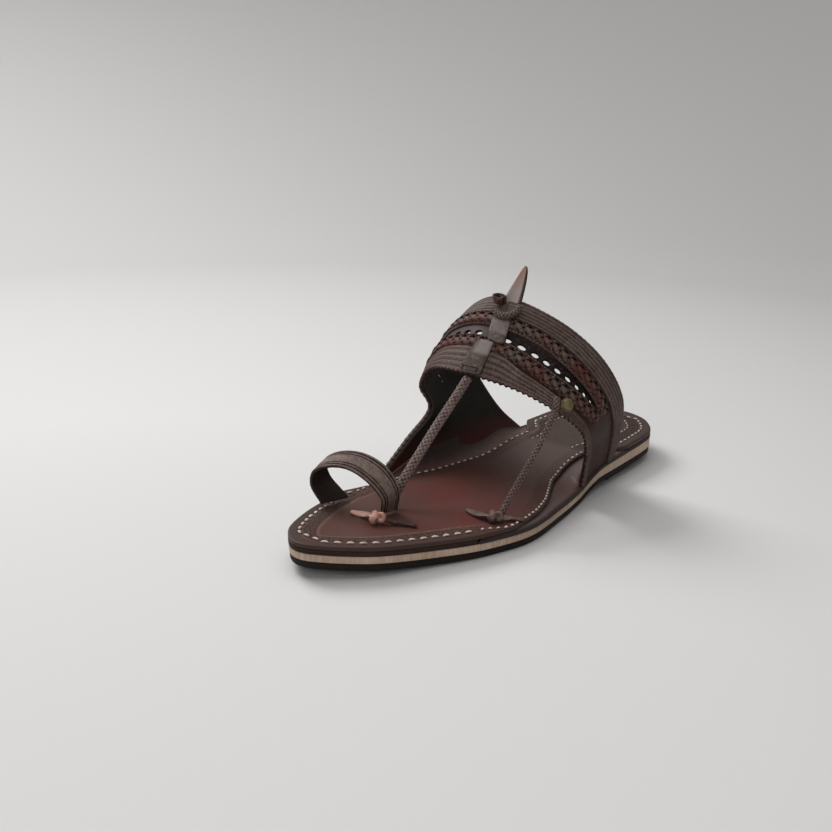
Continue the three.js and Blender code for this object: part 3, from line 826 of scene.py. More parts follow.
def loftSurface(shape, table):
    # reads the fine grid back between its points
    place, normal = table

    def surface(u, v, offset=0.0):
        u, v, offset = np.broadcast_arrays(np.asarray(u, float), np.asarray(v, float),
                                           np.asarray(offset, float))
        a = np.clip(u, 0, 1) * (shape["columns"] - 1)
        fromFrontToRear = shape["above"] - shape["below"]
        b = (np.clip(v, shape["below"], shape["above"]) - shape["below"]) / fromFrontToRear
        b = b * (shape["rows"] - 1)
        i = np.minimum(a.astype(int), shape["columns"] - 2)
        j = np.minimum(b.astype(int), shape["rows"] - 2)
        fa, fb = (a - i)[..., None], (b - j)[..., None]

        def read(grid):
            low = mix(grid[i, j], grid[i + 1, j], fa)
            return mix(low, mix(grid[i, j + 1], grid[i + 1, j + 1], fa), fb)

        return read(place) + read(normal) * offset[..., None]

    return surface


band = loftSurface(bandShape, loftTable(bandShape, rimFoot))


def bandLength(u):
    # width of the band in millimetres, front edge to rear edge, at each u
    v = np.linspace(0, 1, 40)
    return np.linalg.norm(np.diff(band(np.asarray(u)[..., None], v), axis=-2), axis=-1).sum(-1)


print("band surface ready, crown", band(0.5, 1.0).round(1))

# lines on the band, as shares of its width (v) at stations across it (u); the inner side mirrors the outer
bandLines = {
    "u": [0.5, 0.552, 0.598, 0.65, 0.70, 0.752, 0.80, 0.86, 1.0],
    "holes": [0.49, 0.485, 0.455, 0.425, 0.405, 0.40, 0.385, 0.38, 0.38],
    "frontPlait": [0.365, 0.355, 0.305, 0.255, 0.245, 0.26, 0.29, 0.30, 0.30],
    "rearPlait": [0.68, 0.68, 0.67, 0.62, 0.575, 0.535, 0.46, 0.45, 0.45],
    "frontStrip": [0.31, 0.295, 0.20, 0.16, 0.13, 0.115, 0.10, 0.085, 0.08],
    "rearStrip": [0.75, 0.745, 0.735, 0.715, 0.665, 0.645, 0.64, 0.68, 0.80],
}


def bandLine(name, u):
    away = 0.5 + np.abs(np.asarray(u, float) - 0.5)
    return throughRows(bandLines["u"], bandLines[name], away)


def sheetPiece(name, surface, rows, columns, top, under, material, replaces=(), keep=None,
               warp=None, marks=None, uv=None, smooth=50):
    # two faces of a sheet at the heights top(a, b) and under(a, b), joined by a wall wherever it ends;
    # a and b run from 0 to 1, keep says which cells stay, warp moves the grid around the holes
    a, b = np.meshgrid(np.linspace(0, 1, rows + 1), np.linspace(0, 1, columns + 1), indexing="ij")
    if warp is not None:
        a, b = warp(a, b)
    cells = np.ones((rows, columns), bool) if keep is None else keep(rows, columns)
    high = surface(a, b, top(a, b))
    low = surface(a, b, under(a, b))
    number = np.arange((rows + 1) * (columns + 1)).reshape(rows + 1, columns + 1)
    count = number.size
    quads = np.stack([number[:-1, :-1], number[1:, :-1], number[1:, 1:], number[:-1, 1:]], -1)[cells]
    faces = [quads, quads[:, ::-1] + count]
    padded = np.zeros((rows + 2, columns + 2), bool)
    padded[1:-1, 1:-1] = cells
    for axis, step in ((0, 1), (0, -1), (1, 1), (1, -1)):
        bare = cells & ~np.roll(padded, -step, axis)[1:-1, 1:-1]
        i, j = np.nonzero(bare)
        if axis == 0:
            edge = (i + 1, j, i + 1, j + 1) if step == 1 else (i, j + 1, i, j)
        else:
            edge = (i + 1, j + 1, i, j + 1) if step == 1 else (i, j, i + 1, j)
        p, q = number[edge[0], edge[1]], number[edge[2], edge[3]]
        faces.append(np.stack([p, p + count, q + count, q], -1))
    faces = np.concatenate(faces)
    points = np.concatenate([high.reshape(-1, 3), low.reshape(-1, 3)])
    used = np.unique(faces)
    renumber = np.zeros(2 * count, int)
    renumber[used] = np.arange(len(used))
    kept = {}
    for key, rule in (marks or {}).items():
        outer, inner = rule(a, b)
        kept[key] = np.concatenate([np.broadcast_to(outer, a.shape).ravel(),
                                    np.broadcast_to(inner, a.shape).ravel()])[used]
    lay = None
    if uv is not None:
        across, along = uv(a, b)
        lay = np.tile(np.stack([across.ravel(), along.ravel()], -1), (2, 1))[used]
    return buildPiece(name, points[used], renumber[faces], material, replaces, lay, kept, smooth)


# the upper: one sheet from sole to sole, with the row of holes cut through it
shell = {
    "pitch": 0.0243,
    "firstHole": 0.2604,
    "holes": 21,
    "cells": 10,
    "block": 6,
    "halfRow": 0.062,
    "rows": 60,
    "rowBlock": 6,
    "lift": -0.5,
}


holeU = shell["firstHole"] + shell["pitch"] * np.arange(shell["holes"])
stepU = shell["pitch"] / shell["cells"]
# columns before, through and after the holes; the two stretches outside are shared evenly
before = np.linspace(0, holeU[0] - stepU * shell["cells"] / 2, 110)[:-1]
through = holeU[0] - stepU * shell["cells"] / 2 + stepU * np.arange(shell["cells"] * shell["holes"] + 1)
after = np.linspace(through[-1], 1, 110)[1:]
shellU = np.concatenate([before, through, after])
shellRows = shell["rows"]
midRow = shellRows // 2


def shellV(u, row):
    # rows are even from the front edge to the holes' row, and from there to the rear edge
    centre = bandLine("holes", u)
    half = shell["halfRow"]
    block = shell["rowBlock"]
    low = midRow - block
    high = midRow + block
    inRow = centre + (row - midRow) / block * half
    inFront = row / low * (centre - half)
    behind = centre + half + (row - high) / (shellRows - high) * (1 - centre - half)
    return np.where(row < low, inFront, np.where(row > high, behind, inRow))


def shellWarp(a, b):
    # around each hole the square of cells is drawn round; the cells inside it are left out
    u = np.interp(a, np.linspace(0, 1, len(shellU)), shellU)
    row = b * shellRows
    column = (u - through[0]) / stepU
    local = (column % shell["cells"]) - shell["cells"] / 2
    inHoles = (column >= 0) & (column <= shell["cells"] * shell["holes"])
    half = shell["block"] / 2
    p, q = local / half, (row - midRow) / 3.0
    reach = np.maximum(np.abs(p), np.abs(q))
    fromMiddle = np.hypot(p, q)
    share = np.clip((1.42 - reach) / 0.42, 0, 1) * inHoles
    factor = np.where(fromMiddle > 1e-6, reach / np.maximum(fromMiddle, 1e-6), 1)
    moved = mix(1.0, factor, share)
    u = u + np.where(inHoles, (p * moved - p) * half * stepU, 0)
    return u, shellV(u, midRow + q * moved * 3.0)


def shellKeep(rows, columns):
    cells = np.ones((rows, columns), bool)
    start = len(before)
    for k in range(shell["holes"]):
        middle = start + k * shell["cells"] + shell["cells"] // 2
        cells[middle - 3:middle + 3, midRow - 3:midRow + 3] = False
    return cells


def recessed(u, v):
    # 1 in the dark channel between the two plaits, which ends in a point before the ear
    centre = bandLine("holes", u)
    reach = smoothStep((0.795 - (0.5 + np.abs(u - 0.5))) / 0.05)
    half = 0.11 * reach + 0.001
    return smoothStep((half - np.abs(v - centre)) / 0.02) * reach


def shellTop(u, v):
    edge = np.minimum(v, 1 - v) * bandLengthAt(u)
    rounded = 1 - np.sqrt(1 - (1 - np.clip(edge / 1.1, 0, 1)) ** 2)
    return shell["lift"] - 0.35 * recessed(u, v) - 0.7 * rounded


def shellUnder(u, v):
    edge = np.minimum(v, 1 - v) * bandLengthAt(u)
    return -bandShape["wall"] + 0.6 * (1 - np.sqrt(1 - (1 - np.clip(edge / 1.1, 0, 1)) ** 2))


sampleU = np.linspace(0, 1, 201)
sampleLength = bandLength(sampleU)


def bandLengthAt(u):
    return np.interp(u, sampleU, sampleLength)


def shellMarks():
    def lowness(u, v):
        height = band(u, v)[..., 2]
        near = smoothStep((34 - height) / 18)
        return near * 0, near

    def isInner(u, v):
        return np.zeros(u.shape), np.ones(u.shape)

    def edgeMark(u, v):
        edge = np.minimum(v, 1 - v) * bandLengthAt(u)
        near = smoothStep((1.5 - edge) / 1.2)
        return near * 0.4, near

    def channel(u, v):
        return recessed(u, v), np.zeros(u.shape)

    def innerHalf(u, v):
        return smoothStep((0.535 - u) / 0.02), np.zeros(u.shape)

    return {"low": lowness, "inner": isInner, "cutEdge": edgeMark, "channel": channel,
            "innerHalf": innerHalf}


def upperLeather():
    # outside: smooth grey brown ears, near black channel whose inner half is greyed by a painted highlight;
    # inside: olive black, redder by the sole
    finish = Finish("upperLeather")
    place = finish.objectPlace()
    patch = finish.ramp(finish.noise(place, 34.0, 3.0), (0.35, 0), (0.65, 1))
    wide = finish.ramp(finish.noise(place, 15.0, 2.0), (0.4, 0), (0.62, 1))
    outside = finish.blend(patch, tone("35241e"), tone("47352f"))
    outside = finish.blend(wide * 0.6, outside, tone("3e231b"))
    # painted highlight: on the inner half the dark channel turns grey
    inChannel = finish.blend(finish.mark("innerHalf"), tone("17100e"), tone("4d4340"))
    fleck = finish.ramp(finish.noise(place, 520.0, 4.0, 0.7), (0.5, 0), (0.78, 1))
    inChannel = finish.blend(fleck * 0.45, inChannel, tone("6d5c55"))
    outside = finish.blend(finish.mark("channel"), outside, inChannel)
    inside = finish.blend(patch, tone("1d1a16"), tone("29251f"))
    inside = finish.blend(finish.mark("low"), inside, tone("43201b"))
    colour = finish.blend(finish.mark("inner"), outside, inside)
    colour = finish.blend(finish.mark("cutEdge") * 0.5, colour, tone("57493f"))
    rough = 0.46 + finish.noise(place, 90.0, 3.0) * 0.2
    return finish.surface(colour, rough, grainBump(finish, place, 0.8), Specular_IOR_Level=0.12)


upperFinish = upperLeather()
sheetPiece("upper_band", band, len(shellU) - 1, shellRows, shellTop, shellUnder, upperFinish,
           ["upper"], shellKeep, shellWarp, shellMarks())

# the ears: the shelf caught under the footbed, and the fillet that lifts it into the band
earSpec = {"rows": 160, "columns": 26, "topWidth": 2.4, "topDrop": 1.9, "lowWidth": 0.4, "lowDrop": 0.3,
           "from": 57.2, "to": 207.8, "low": lambda s: midsoleTop(s) + 0.02,
           "high": lambda s: baseTop(s) - 0.05}
earOut = 0.35


def earPiece(side):
    outer = lambda s: soleEdge(side, s) + (-earOut if side == "medial" else earOut)
    inner = lambda s: earEdge(side, s)
    spec = dict(earSpec)
    spec["left"], spec["right"] = (outer, inner) if side == "medial" else (inner, outer)
    return slabPiece(side + "_ear", spec, earFinish)


def earLeather():
    # grey brown with red in patches; painted shade where it rolls over the sole's edge and where the fillet
    # rises into the leg
    finish = Finish("earLeather")
    place = finish.objectPlace()
    patch = finish.ramp(finish.noise(place, 22.0, 3.0), (0.36, 0), (0.66, 1))
    colour = finish.blend(patch, tone("603c36"), tone("62544f"))
    scuff = finish.ramp(finish.noise(place, 190.0, 5.0, 0.65), (0.5, 0), (0.8, 1))
    colour = finish.blend(scuff * 0.4, colour, tone("7b6a62"))
    # painted shade where the ear rolls over the sole's edge
    rolled = finish.ramp(finish.mark("rim") / 2.6, (0.15, 1), (0.9, 0))
    colour = finish.blend(rolled * 0.85, colour, tone("1e1512"))
    # painted shade on the fillet where it rises into the leg
    colour = finish.blend(finish.mark("dark") * 0.85, colour, tone("24201b"))
    rough = 0.42 + finish.noise(place, 90.0, 3.0) * 0.2
    return finish.surface(colour, rough, grainBump(finish, place, 0.8), Specular_IOR_Level=0.25)


earFinish = earLeather()
earPiece("medial")
earPiece("lateral")


def filletPiece(side):
    # quadratic curves from the shelf, through the corner, up to the band's inner face; ahead of
    # the leg and behind it their height dies away along the rim
    end = 0.0 if side == "medial" else 1.0
    inwardX = 1.0 if side == "medial" else -1.0
    reach = 10.0
    rise = 0.06
    ahead, behind = (0.25, 0.2) if side == "medial" else (0.4, 0.3)
    front, rear = bandShape["front"][-int(end)], bandShape["rear"][-int(end)]

    def surface(a, b, offset):
        v = mix(-ahead, 1 + behind, a)
        held = np.clip(v, 0, 1)
        y = mix(front[1], rear[1], v)
        s = sole["length"] / 2 - y
        low = np.where(v < 0.5, smoothStep(1 + np.minimum(v, 0) / ahead),
                       smoothStep((1 + behind - v) / behind))
        within = smoothStep((np.minimum(v, 1 - v) + 0.02) / 0.2)
        away = mix(0.1 * low**1.6, 1.0, within)
        nearby = band(np.full(v.shape, end + (0.03 if end == 0 else -0.03)), held, -bandShape["wall"] + 0.1)
        rim = soleEdge(side, s) + inwardX * 3.1
        cornerX = mix(rim, nearby[..., 0] + inwardX * 1.3, within)
        corner = np.stack([cornerX, y, baseTop(s) - 0.35], -1)
        u = end + (rise if end == 0 else -rise)
        top = band(np.full(v.shape, u), held, -bandShape["wall"] - 0.1)
        foot = band(np.full(v.shape, end), held, -bandShape["wall"] - 0.1)
        top = corner + (top - foot) * away[..., None]
        shelf = corner + np.array([inwardX, 0, 0]) * (reach * (0.35 + 0.65 * away))[..., None]
        t = b[..., None]
        curve = shelf * (1 - t) ** 2 + 2 * corner * t * (1 - t) + top * t * t
        way = 2 * (corner - shelf) * (1 - t) + 2 * (top - corner) * t
        out = np.stack([-way[..., 2] * inwardX, 0 * v, way[..., 0] * inwardX], -1)
        out = out / np.maximum(np.linalg.norm(out, axis=-1, keepdims=True), 1e-9)
        out = np.where(out[..., 2:] < 0, -out, out)
        return curve + out * np.asarray(offset)[..., None]

    marks = {
        "rim": lambda a, b: (0 * a + 9, 0 * a + 9),
        # dark: painted shade on the outer face where the fillet rises into the leg
        "dark": lambda a, b: (smoothStep((b - 0.25) / 0.6) * smoothStep(a / 0.4), 0 * a),
    }
    edge = lambda a, b: np.maximum(1 - np.clip(np.minimum(a, 1 - a) / 0.1, 0, 1),
                                   1 - np.clip(b / 0.12, 0, 1)) ** 2
    return sheetPiece(side + "_fillet", surface, 90, 24, lambda a, b: 0.3 - 0.55 * edge(a, b),
                      lambda a, b: a * 0 - 0.9, earFinish, marks=marks)


filletPiece("medial")
filletPiece("lateral")


# strips and plaits laid on the band
def runLength(u, v):
    # millimetres travelled along a line drawn on the band
    steps = np.linalg.norm(np.diff(band(u, v), axis=0), axis=-1)
    return np.concatenate([[0], np.cumsum(steps)])


def stripPiece(name, first, last, low, high, spec, material, replaces=()):
    # a ridged strip: height = base + ridge |sin| across it, falling under the band at its edges
    u1 = np.linspace(first, last, spec["columns"] + 1)
    middle = runLength(u1, (low(u1) + high(u1)) / 2)

    def place(a, b):
        u = first + (last - first) * a
        v = mix(low(u), high(u), b)
        pinked = spec.get("pink", 0)
        if pinked:
            run = np.interp(u, u1, middle)
            tooth = np.abs((run / spec["tooth"]) % 1 - 0.5) * 2
            atFront = spec["pinkSide"] == "front"
            side = (1 - b) if atFront else b
            v = v + (1 if atFront else -1) * pinked * tooth * side ** 6 / bandLengthAt(u)
        return u, v

    def surface(a, b, offset):
        u, v = place(a, b)
        return band(u, v, offset)

    def widthAt(a):
        u = first + (last - first) * a
        return (high(u) - low(u)) * bandLengthAt(u)

    def crestOf(a, b):
        across = b * spec["ridges"]
        fine = np.abs(np.sin(np.pi * (2 * spec["ridges"] + 1) * b + 0.6 * np.sin(a * 23)))
        wave = 0.68 * np.abs(np.sin(np.pi * across)) ** 0.6 + 0.32 * fine**0.5
        run = np.interp(first + (last - first) * a, u1, middle)
        lattice = 0.5 + 0.5 * np.sin(run / spec.get("bead", 3.0) * 2 * np.pi + np.floor(across) * 2.1)
        return wave * (1 - spec.get("beading", 0.25) * lattice)

    def ends(a, b):
        width = widthAt(a)
        side = np.minimum(b, 1 - b) * width
        tip = np.minimum(a, 1 - a) * middle[-1]
        fall = lambda d: 1 - np.sqrt(np.maximum(0, 1 - (1 - np.clip(d / 0.9, 0, 1)) ** 2))
        closed = fall(side)
        return np.maximum(closed, fall(tip)) if spec.get("closedEnds", True) else closed

    def top(a, b):
        drop = ends(a, b)
        return (spec["base"] + spec["ridge"] * crestOf(a, b)) * (1 - drop) - 1.3 * drop

    # crest: ridge height, falling at the edges and zero on the inner face; the strip finish paints a
    # highlight where it is high and shade where it is low
    marks = {"crest": lambda a, b: (crestOf(a, b) * (1 - ends(a, b) ** 3 * 0.9), a * 0)}
    uv = lambda a, b: (np.interp(first + (last - first) * a, u1, middle), b * widthAt(a))
    return sheetPiece(name, surface, spec["columns"], spec["across"], top, lambda a, b: a * 0 - 1.4,
                      material, replaces, marks=marks, uv=uv)


frontFinish = stripLeather("frontStripLeather", "19110e", "372924", "806c64", "3f211b", 0.55)
rearFinish = stripLeather("rearStripLeather", "1b1310", "362925", "79665f", "3f231c", 0.55)
frontStrip = {"columns": 620, "across": 32, "ridges": 5, "base": 0.45, "ridge": 0.6, "pink": 1.0,
              "tooth": 3.4, "pinkSide": "front", "bead": 2.2, "beading": 0.14}
stripPiece("front_strip", 0.004, 0.996, lambda u: 0 * u - 1.3 / bandLengthAt(u),
           lambda u: bandLine("frontStrip", u),
           frontStrip, frontFinish)
rearStrip = {"columns": 540, "across": 50, "ridges": 6, "base": 0.5, "ridge": 0.55, "pink": 0.35,
             "tooth": 3.0, "pinkSide": "rear", "bead": 2.4, "beading": 0.1}
stripPiece("rear_strip", 0.004, 0.996, lambda u: bandLine("rearStrip", u), lambda u: 0 * u + 1.004,
           rearStrip, rearFinish)


def tubeMesh(path, side, up, width, height, around=8, pointed=True):
    # an ellipse, width by height, carried along a path in the frame (side, up); ends drawn to a point
    turn = np.linspace(0, 2 * np.pi, around, endpoint=False)
    taper = np.ones(len(path))
    if pointed:
        fromEnd = np.minimum(np.arange(len(path)), np.arange(len(path))[::-1])
        taper = np.minimum(1, np.sqrt(fromEnd / 3.0 + 1e-6))
        taper[[0, -1]] = 0.02
    sideways = side[:, None] * np.cos(turn)[None, :, None] * (width / 2)
    upward = up[:, None] * np.sin(turn)[None, :, None] * (height / 2)
    ring = path[:, None] + (sideways + upward) * taper[:, None, None]
    faces = gridFaces(len(path), around, closed=True)
    points = np.concatenate([ring.reshape(-1, 3), path[:1], path[-1:]])
    n = len(path) * around
    j = np.arange(around)
    startCap = np.stack([(j + 1) % around, j, np.full(around, n)], -1)
    last = n - around
    endCap = np.stack([last + j, last + (j + 1) % around, np.full(around, n + 1)], -1)
    return points, faces, startCap, endCap


def braidPiece(name, frameOf, length, spec, material, replaces=()):
    # strand k of a flat plait: sideways A sin(t + k/n), up B cos(2 t + 2 k/n), t one turn a pitch;
    # a woven cord has strands that wind both ways on an ellipse and pass over and under each other
    strands = spec["strands"]
    count = max(24, int(length / spec["pitch"] * spec["steps"]))
    at = np.linspace(0, length, count)
    allPoints, allFaces, allCrest, allUv = [], [], [], []
    start = 0
    origin, side, up = frameOf(at)[:3]
    for k in range(strands):
        woven = spec.get("woven")
        way = -1 if woven and k % 2 else 1
        half = strands // 2
        t = way * 2 * np.pi * at / spec["pitch"] + 2 * np.pi * (k // 2 / half if woven else k / strands)
        t = t if woven else 2 * np.pi * (at / spec["pitch"] + k / strands)
        swing = spec["swing"] * np.sin(t)
        rise = spec["rise"] * np.cos(2 * t)
        if woven:
            over = 1 + way * spec["weave"] / spec["swing"] * np.cos(half * 2 * np.pi * at / spec["pitch"])
            swing, rise = swing * over, (spec["rise"] + over * spec["weave"] - spec["weave"]) * np.cos(t)
        taperIn = spec.get("taper", 0)
        shrink = np.ones(count)
        if taperIn:
            shrink = smoothStep(np.minimum(at, length - at) / taperIn + 0.25)
        raised = rise * shrink + spec.get("lift", 0)
        path = origin + side * (swing * shrink)[:, None] + up * raised[:, None]
        onward = np.gradient(path, axis=0)
        onward = onward / np.linalg.norm(onward, axis=-1, keepdims=True)
        out = side * np.sin(t)[:, None] + up * np.cos(t)[:, None] if woven else up
        strandSide = crossed(onward, out)
        strandUp = crossed(strandSide, onward)
        points, faces, capA, capB = tubeMesh(path, strandSide, strandUp, spec["width"], spec["height"])
        turn = np.linspace(0, 2 * np.pi, 8, endpoint=False)
        bulge = 0.5 + 0.5 * np.sin(turn)
        level = over - over.min() if woven else 0.5 + 0.5 * np.cos(2 * t)
        level = level / max(level.max(), 1e-6)
        # crest: high on each strand's top and where it passes over; the strand finish paints a highlight
        # there and painted shade on its sides and where it passes under
        crest = (0.25 + 0.75 * bulge[None]) * (0.45 + 0.55 * level[:, None])
        allCrest.append(np.concatenate([crest.ravel(), [0.3, 0.3]]))
        uv = np.stack(np.broadcast_arrays(at[:, None], turn[None] * spec["width"] / 3 + k * 7),
                      -1).reshape(-1, 2)
        allUv.append(np.concatenate([uv, [[0, 0], [length, 0]]]))
        allPoints.append(points)
        allFaces.extend((faces + start).tolist())
        allFaces.extend((capA + start).tolist())
        allFaces.extend((capB + start).tolist())
        start += len(points)
    return buildPiece(name, np.concatenate(allPoints), allFaces, material, replaces,
                      np.concatenate(allUv), {"crest": np.concatenate(allCrest)}, 70)


def lineFrame(u0, u1, line):
    # origin, sideways, outward and onward directions along a line on the band
    u = np.linspace(u0, u1, 800)
    v = line(u)
    run = runLength(u, v)

    def frameOf(at):
        uu = np.interp(at, run, u)
        vv = np.interp(at, run, v)
        origin = band(uu, vv)
        up = band(uu, vv, 1.0) - origin
        up = up / np.linalg.norm(up, axis=-1, keepdims=True)
        ahead = np.gradient(origin, axis=0)
        ahead = ahead / np.linalg.norm(ahead, axis=-1, keepdims=True)
        return origin, crossed(ahead, up), up, ahead

    return frameOf, run[-1]


plaitFinish = stripLeather("plaitLeather", "160d0a", "31221b", "78645b", "56211b", 0.75)
plait = {"strands": 8, "pitch": 23.0, "steps": 44, "swing": 3.1, "rise": 0.45, "width": 2.7, "height": 0.9,
         "lift": 0.35, "woven": True, "weave": 0.34}
for name, line, reach in (("front_plait", "frontPlait", 0.292), ("rear_plait", "rearPlait", 0.292)):
    frameOf, length = lineFrame(0.5 - reach, 0.5 + reach, lambda u: bandLine(line, u))
    braidPiece(name, frameOf, length, plait, plaitFinish)

# cords that edge the channel, between plait and holes
edging = {"strands": 2, "pitch": 4.2, "steps": 10, "swing": 0.45, "rise": 0.3, "width": 1.1, "height": 1.0,
          "lift": -0.1, "taper": 3}
for name, line, shift in (("front_edging", "frontPlait", 3.9), ("rear_edging", "rearPlait", -3.9)):
    frameOf, length = lineFrame(0.5 - 0.28, 0.5 + 0.28,
                                lambda u: bandLine(line, u) + shift / bandLengthAt(u))
    braidPiece(name, frameOf, length, edging, frontFinish)

# the centre straps
tabs = {
    "lift": 0.9,
    "thickness": 1.7,
}
frontTab = {"across": (0.519, 0.526), "halfWidth": (0.02, 0.0125), "along": (-0.012, 0.385),
            "patch": lambda a, b: smoothStep((b - 0.52) / 0.12) * smoothStep((a - 0.05) / 0.3) * 0.9}
rearTab = {"across": (0.54, 0.529), "halfWidth": (0.0135, 0.0145), "along": (0.39, 0.87),
           "patch": lambda a, b: smoothStep((b - 0.18) / 0.1) * smoothStep((0.62 - b) / 0.12) * 0.45}


def tabPiece(name, tab, replaces, roundFront, roundRear, slit=False):
    # a strap of the band's own surface, its ends rounded, two grooves beside its edges
    def place(a, b):
        u = mix(*tab["across"], b) + (2 * a - 1) * mix(*tab["halfWidth"], b)
        return u, mix(*tab["along"], b)

    def surface(a, b, offset):
        side = 2 * a - 1
        bulge = np.sqrt(np.maximum(0, 1 - np.abs(side) ** 2.6))
        b2 = b
        if roundFront:
            b2 = np.maximum(b2, 0) + (1 - bulge) * roundFront * (1 - b2) ** 8
        if roundRear:
            b2 = b2 - (1 - bulge) * roundRear * b2 ** 8
        u, v = place(a, b2)
        return band(u, v, tabs["lift"] + np.asarray(offset))

    def crestOf(a, b):
        side = np.abs(2 * a - 1)
        groove = 0.45 * np.exp(-(((side - 0.86) / 0.04) ** 2)) * (0.6 + 0.4 * np.sin(b * 40) ** 2)
        slot = 0 * a
        if slit:
            box = np.maximum(np.abs(2 * a - 1) / 0.66, np.abs(b - 0.115) / 0.06)
            slot = 0.85 * np.exp(-(((box - 1) / 0.13) ** 2)) + 0.45 * (box < 1)
        return np.clip(1 - groove - slot, 0, 1)

    def edge(a, b):
        near = np.minimum(np.minimum(a, 1 - a) / 0.07, np.minimum(b, 1 - b) / 0.02)
        return 1 - np.sqrt(np.maximum(0, 1 - (1 - np.clip(near, 0, 1)) ** 2))

    top = lambda a, b: tabs["thickness"] - 0.45 * (1 - crestOf(a, b)) - 0.8 * edge(a, b)
    # crest drops in the grooves, the slot and at the rounded edges, where the strap finish paints shade
    marks = {
        "crest": lambda a, b: (crestOf(a, b) * (1 - 0.7 * edge(a, b) ** 2), a * 0),
        "patch": lambda a, b: (tab["patch"](a, b), a * 0),
    }
    uv = lambda a, b: (a * 12, b * 50) if slit else (b * 50, a * 12)
    return sheetPiece(name, surface, 40, 120, top, lambda a, b: a * 0 - 1.2, tabFinish,
                      replaces, marks=marks, uv=uv)


def tabLeather():
    # smooth and grey on the patch, streaked and darker elsewhere, with painted shade in the grooves, the
    # slot and over the rounded edges
    finish = Finish("tabLeather")
    place = finish.objectPlace()
    streaks = finish.noise(finish.uvPlace(0.16, 1.5), 1.0, 5.0, 0.65)
    crumbs = finish.noise(place, 420.0, 4.0, 0.7)
    crest = finish.mark("crest")
    patch = finish.mark("patch")
    colour = finish.blend(finish.ramp(streaks, (0.36, 0), (0.62, 1)), tone("33261f"), tone("5c4b45"))
    colour = finish.blend(finish.ramp(crumbs, (0.52, 0), (0.72, 1)) * 0.6, colour, tone("85746d"))
    smooth = finish.blend(crumbs, tone("746965"), tone("928885"))
    colour = finish.blend(patch, colour, smooth)
    # painted shade where crest is low: grooves, slot and rounded edges
    colour = finish.blend(finish.ramp(crest, (0.1, 1), (0.6, 0)) * 0.8, colour, tone("1c1310"))
    height = streaks * (1 - patch) * 1.2 + crumbs * 0.4
    return finish.surface(colour, 0.45 + crumbs * 0.2, finish.bump(height, 0.55, 0.0006),
                          Specular_IOR_Level=0.25)


tabFinish = tabLeather()
tabPiece("front_centre_strap", frontTab, ["centre_strap_front"], 0.09, 0.0, True)
tabPiece("rear_centre_strap", rearTab, ["centre_strap_rear"], 0.1, 0.0)


# collar, curl, leaf and rivet
def frameOnBand(u, v, offset):
    origin = band(u, v, offset)
    up = band(u, v, offset + 1) - origin
    up = up / np.linalg.norm(up)
    side = band(u + 0.01, v, offset) - origin
    side = side / np.linalg.norm(side)
    return origin, side, crossed(up, side), up


topKnot = {"across": 0.533, "along": 0.835, "radius": 7.0, "cord": 1.35, "from": 208, "to": 380}
knotOrigin, knotSide, knotBack, knotUp = frameOnBand(topKnot["across"], topKnot["along"], 1.8 + 0.6 + 1.35)


def collarFrame(at):
    # the arc of a circle in the plane of the knot
    angle = np.radians(topKnot["from"]) + at / topKnot["radius"]
    out = knotSide * np.cos(angle)[:, None] + knotBack * np.sin(angle)[:, None]
    origin = knotOrigin + out * topKnot["radius"]
    up = np.broadcast_to(knotUp, origin.shape)
    return origin, out, up, crossed(up, out)


collarLength = np.radians(topKnot["to"] - topKnot["from"]) * topKnot["radius"]
collar = {"strands": 8, "pitch": 7.6, "steps": 40, "swing": 1.35, "rise": 1.3, "width": 1.1, "height": 0.8,
          "lift": -0.3, "woven": True, "weave": 0.25}
collarFinish = stripLeather("collarLeather", "1c1412", "3a2e29", "7f6f67", "3f2820", 0.15)
braidPiece("collar_braid", collarFrame, collarLength, collar, collarFinish,
           ["braided_collar"])

leaf = {"across": 0.534, "along": 0.925, "tip": (0.4, 29.1, 126.9), "halfWidth": 5.4, "wall": 1.6}
leafFoot = band(leaf["across"], leaf["along"], 1.2)
leafLean = np.array(leaf["tip"]) - leafFoot
leafSide = np.array([0.95, 0.3, 0]) / np.hypot(0.95, 0.3)
leafBack = crossed(leafLean, leafSide)


def leafSurface(a, b, offset):
    # a folded tongue: half width (1 - b)^0.62, folded forward along its middle, its tip curled back
    half = (leaf["halfWidth"] - 0.45) * (1 - b) ** 0.62 + 0.45
    side = 2 * a - 1
    fold = 1.5 * (1 - side**2) * (1 - b)
    curlBack = 0.6 * np.sin(b * np.pi)
    return (leafFoot + leafLean * b[..., None] + leafSide * (side * half)[..., None]
            + leafBack * (fold + curlBack + np.asarray(offset))[..., None])


def leafEdge(a, b):
    return np.clip(np.minimum(a, 1 - a) / 0.12, 0, 1)


leafMarks = {
    "height": lambda a, b: (b, b),
    "cutEdge": lambda a, b: (smoothStep((a - 0.84) / 0.08) * (b > 0.1), smoothStep((a - 0.7) / 0.2)),
}
leafRound = lambda a, b: 0.45 * (1 - leafEdge(a, b)) ** 2
sheetPiece("leaf", leafSurface, 24, 60, lambda a, b: leaf["wall"] / 2 - leafRound(a, b),
           lambda a, b: -leaf["wall"] / 2 + leafRound(a, b), leafLeather(), ["leaf_tip"],
           marks=leafMarks, uv=lambda a, b: (b * 18, a * 9))

curl = {"side": -5.2, "back": 0.6, "outer": 3.8, "turns": 1.2, "height": 4.4, "sunk": 1.0, "lean": 0.5,
        "wall": 1.2, "air": 0.15, "flare": 0.12, "narrowing": 0.12, "leanInward": 0.22}
curlFinish = plainLeather("curlLeather", "2a1712", "46291f", "7d6a5e", 0.5, 1.0, 60.0)


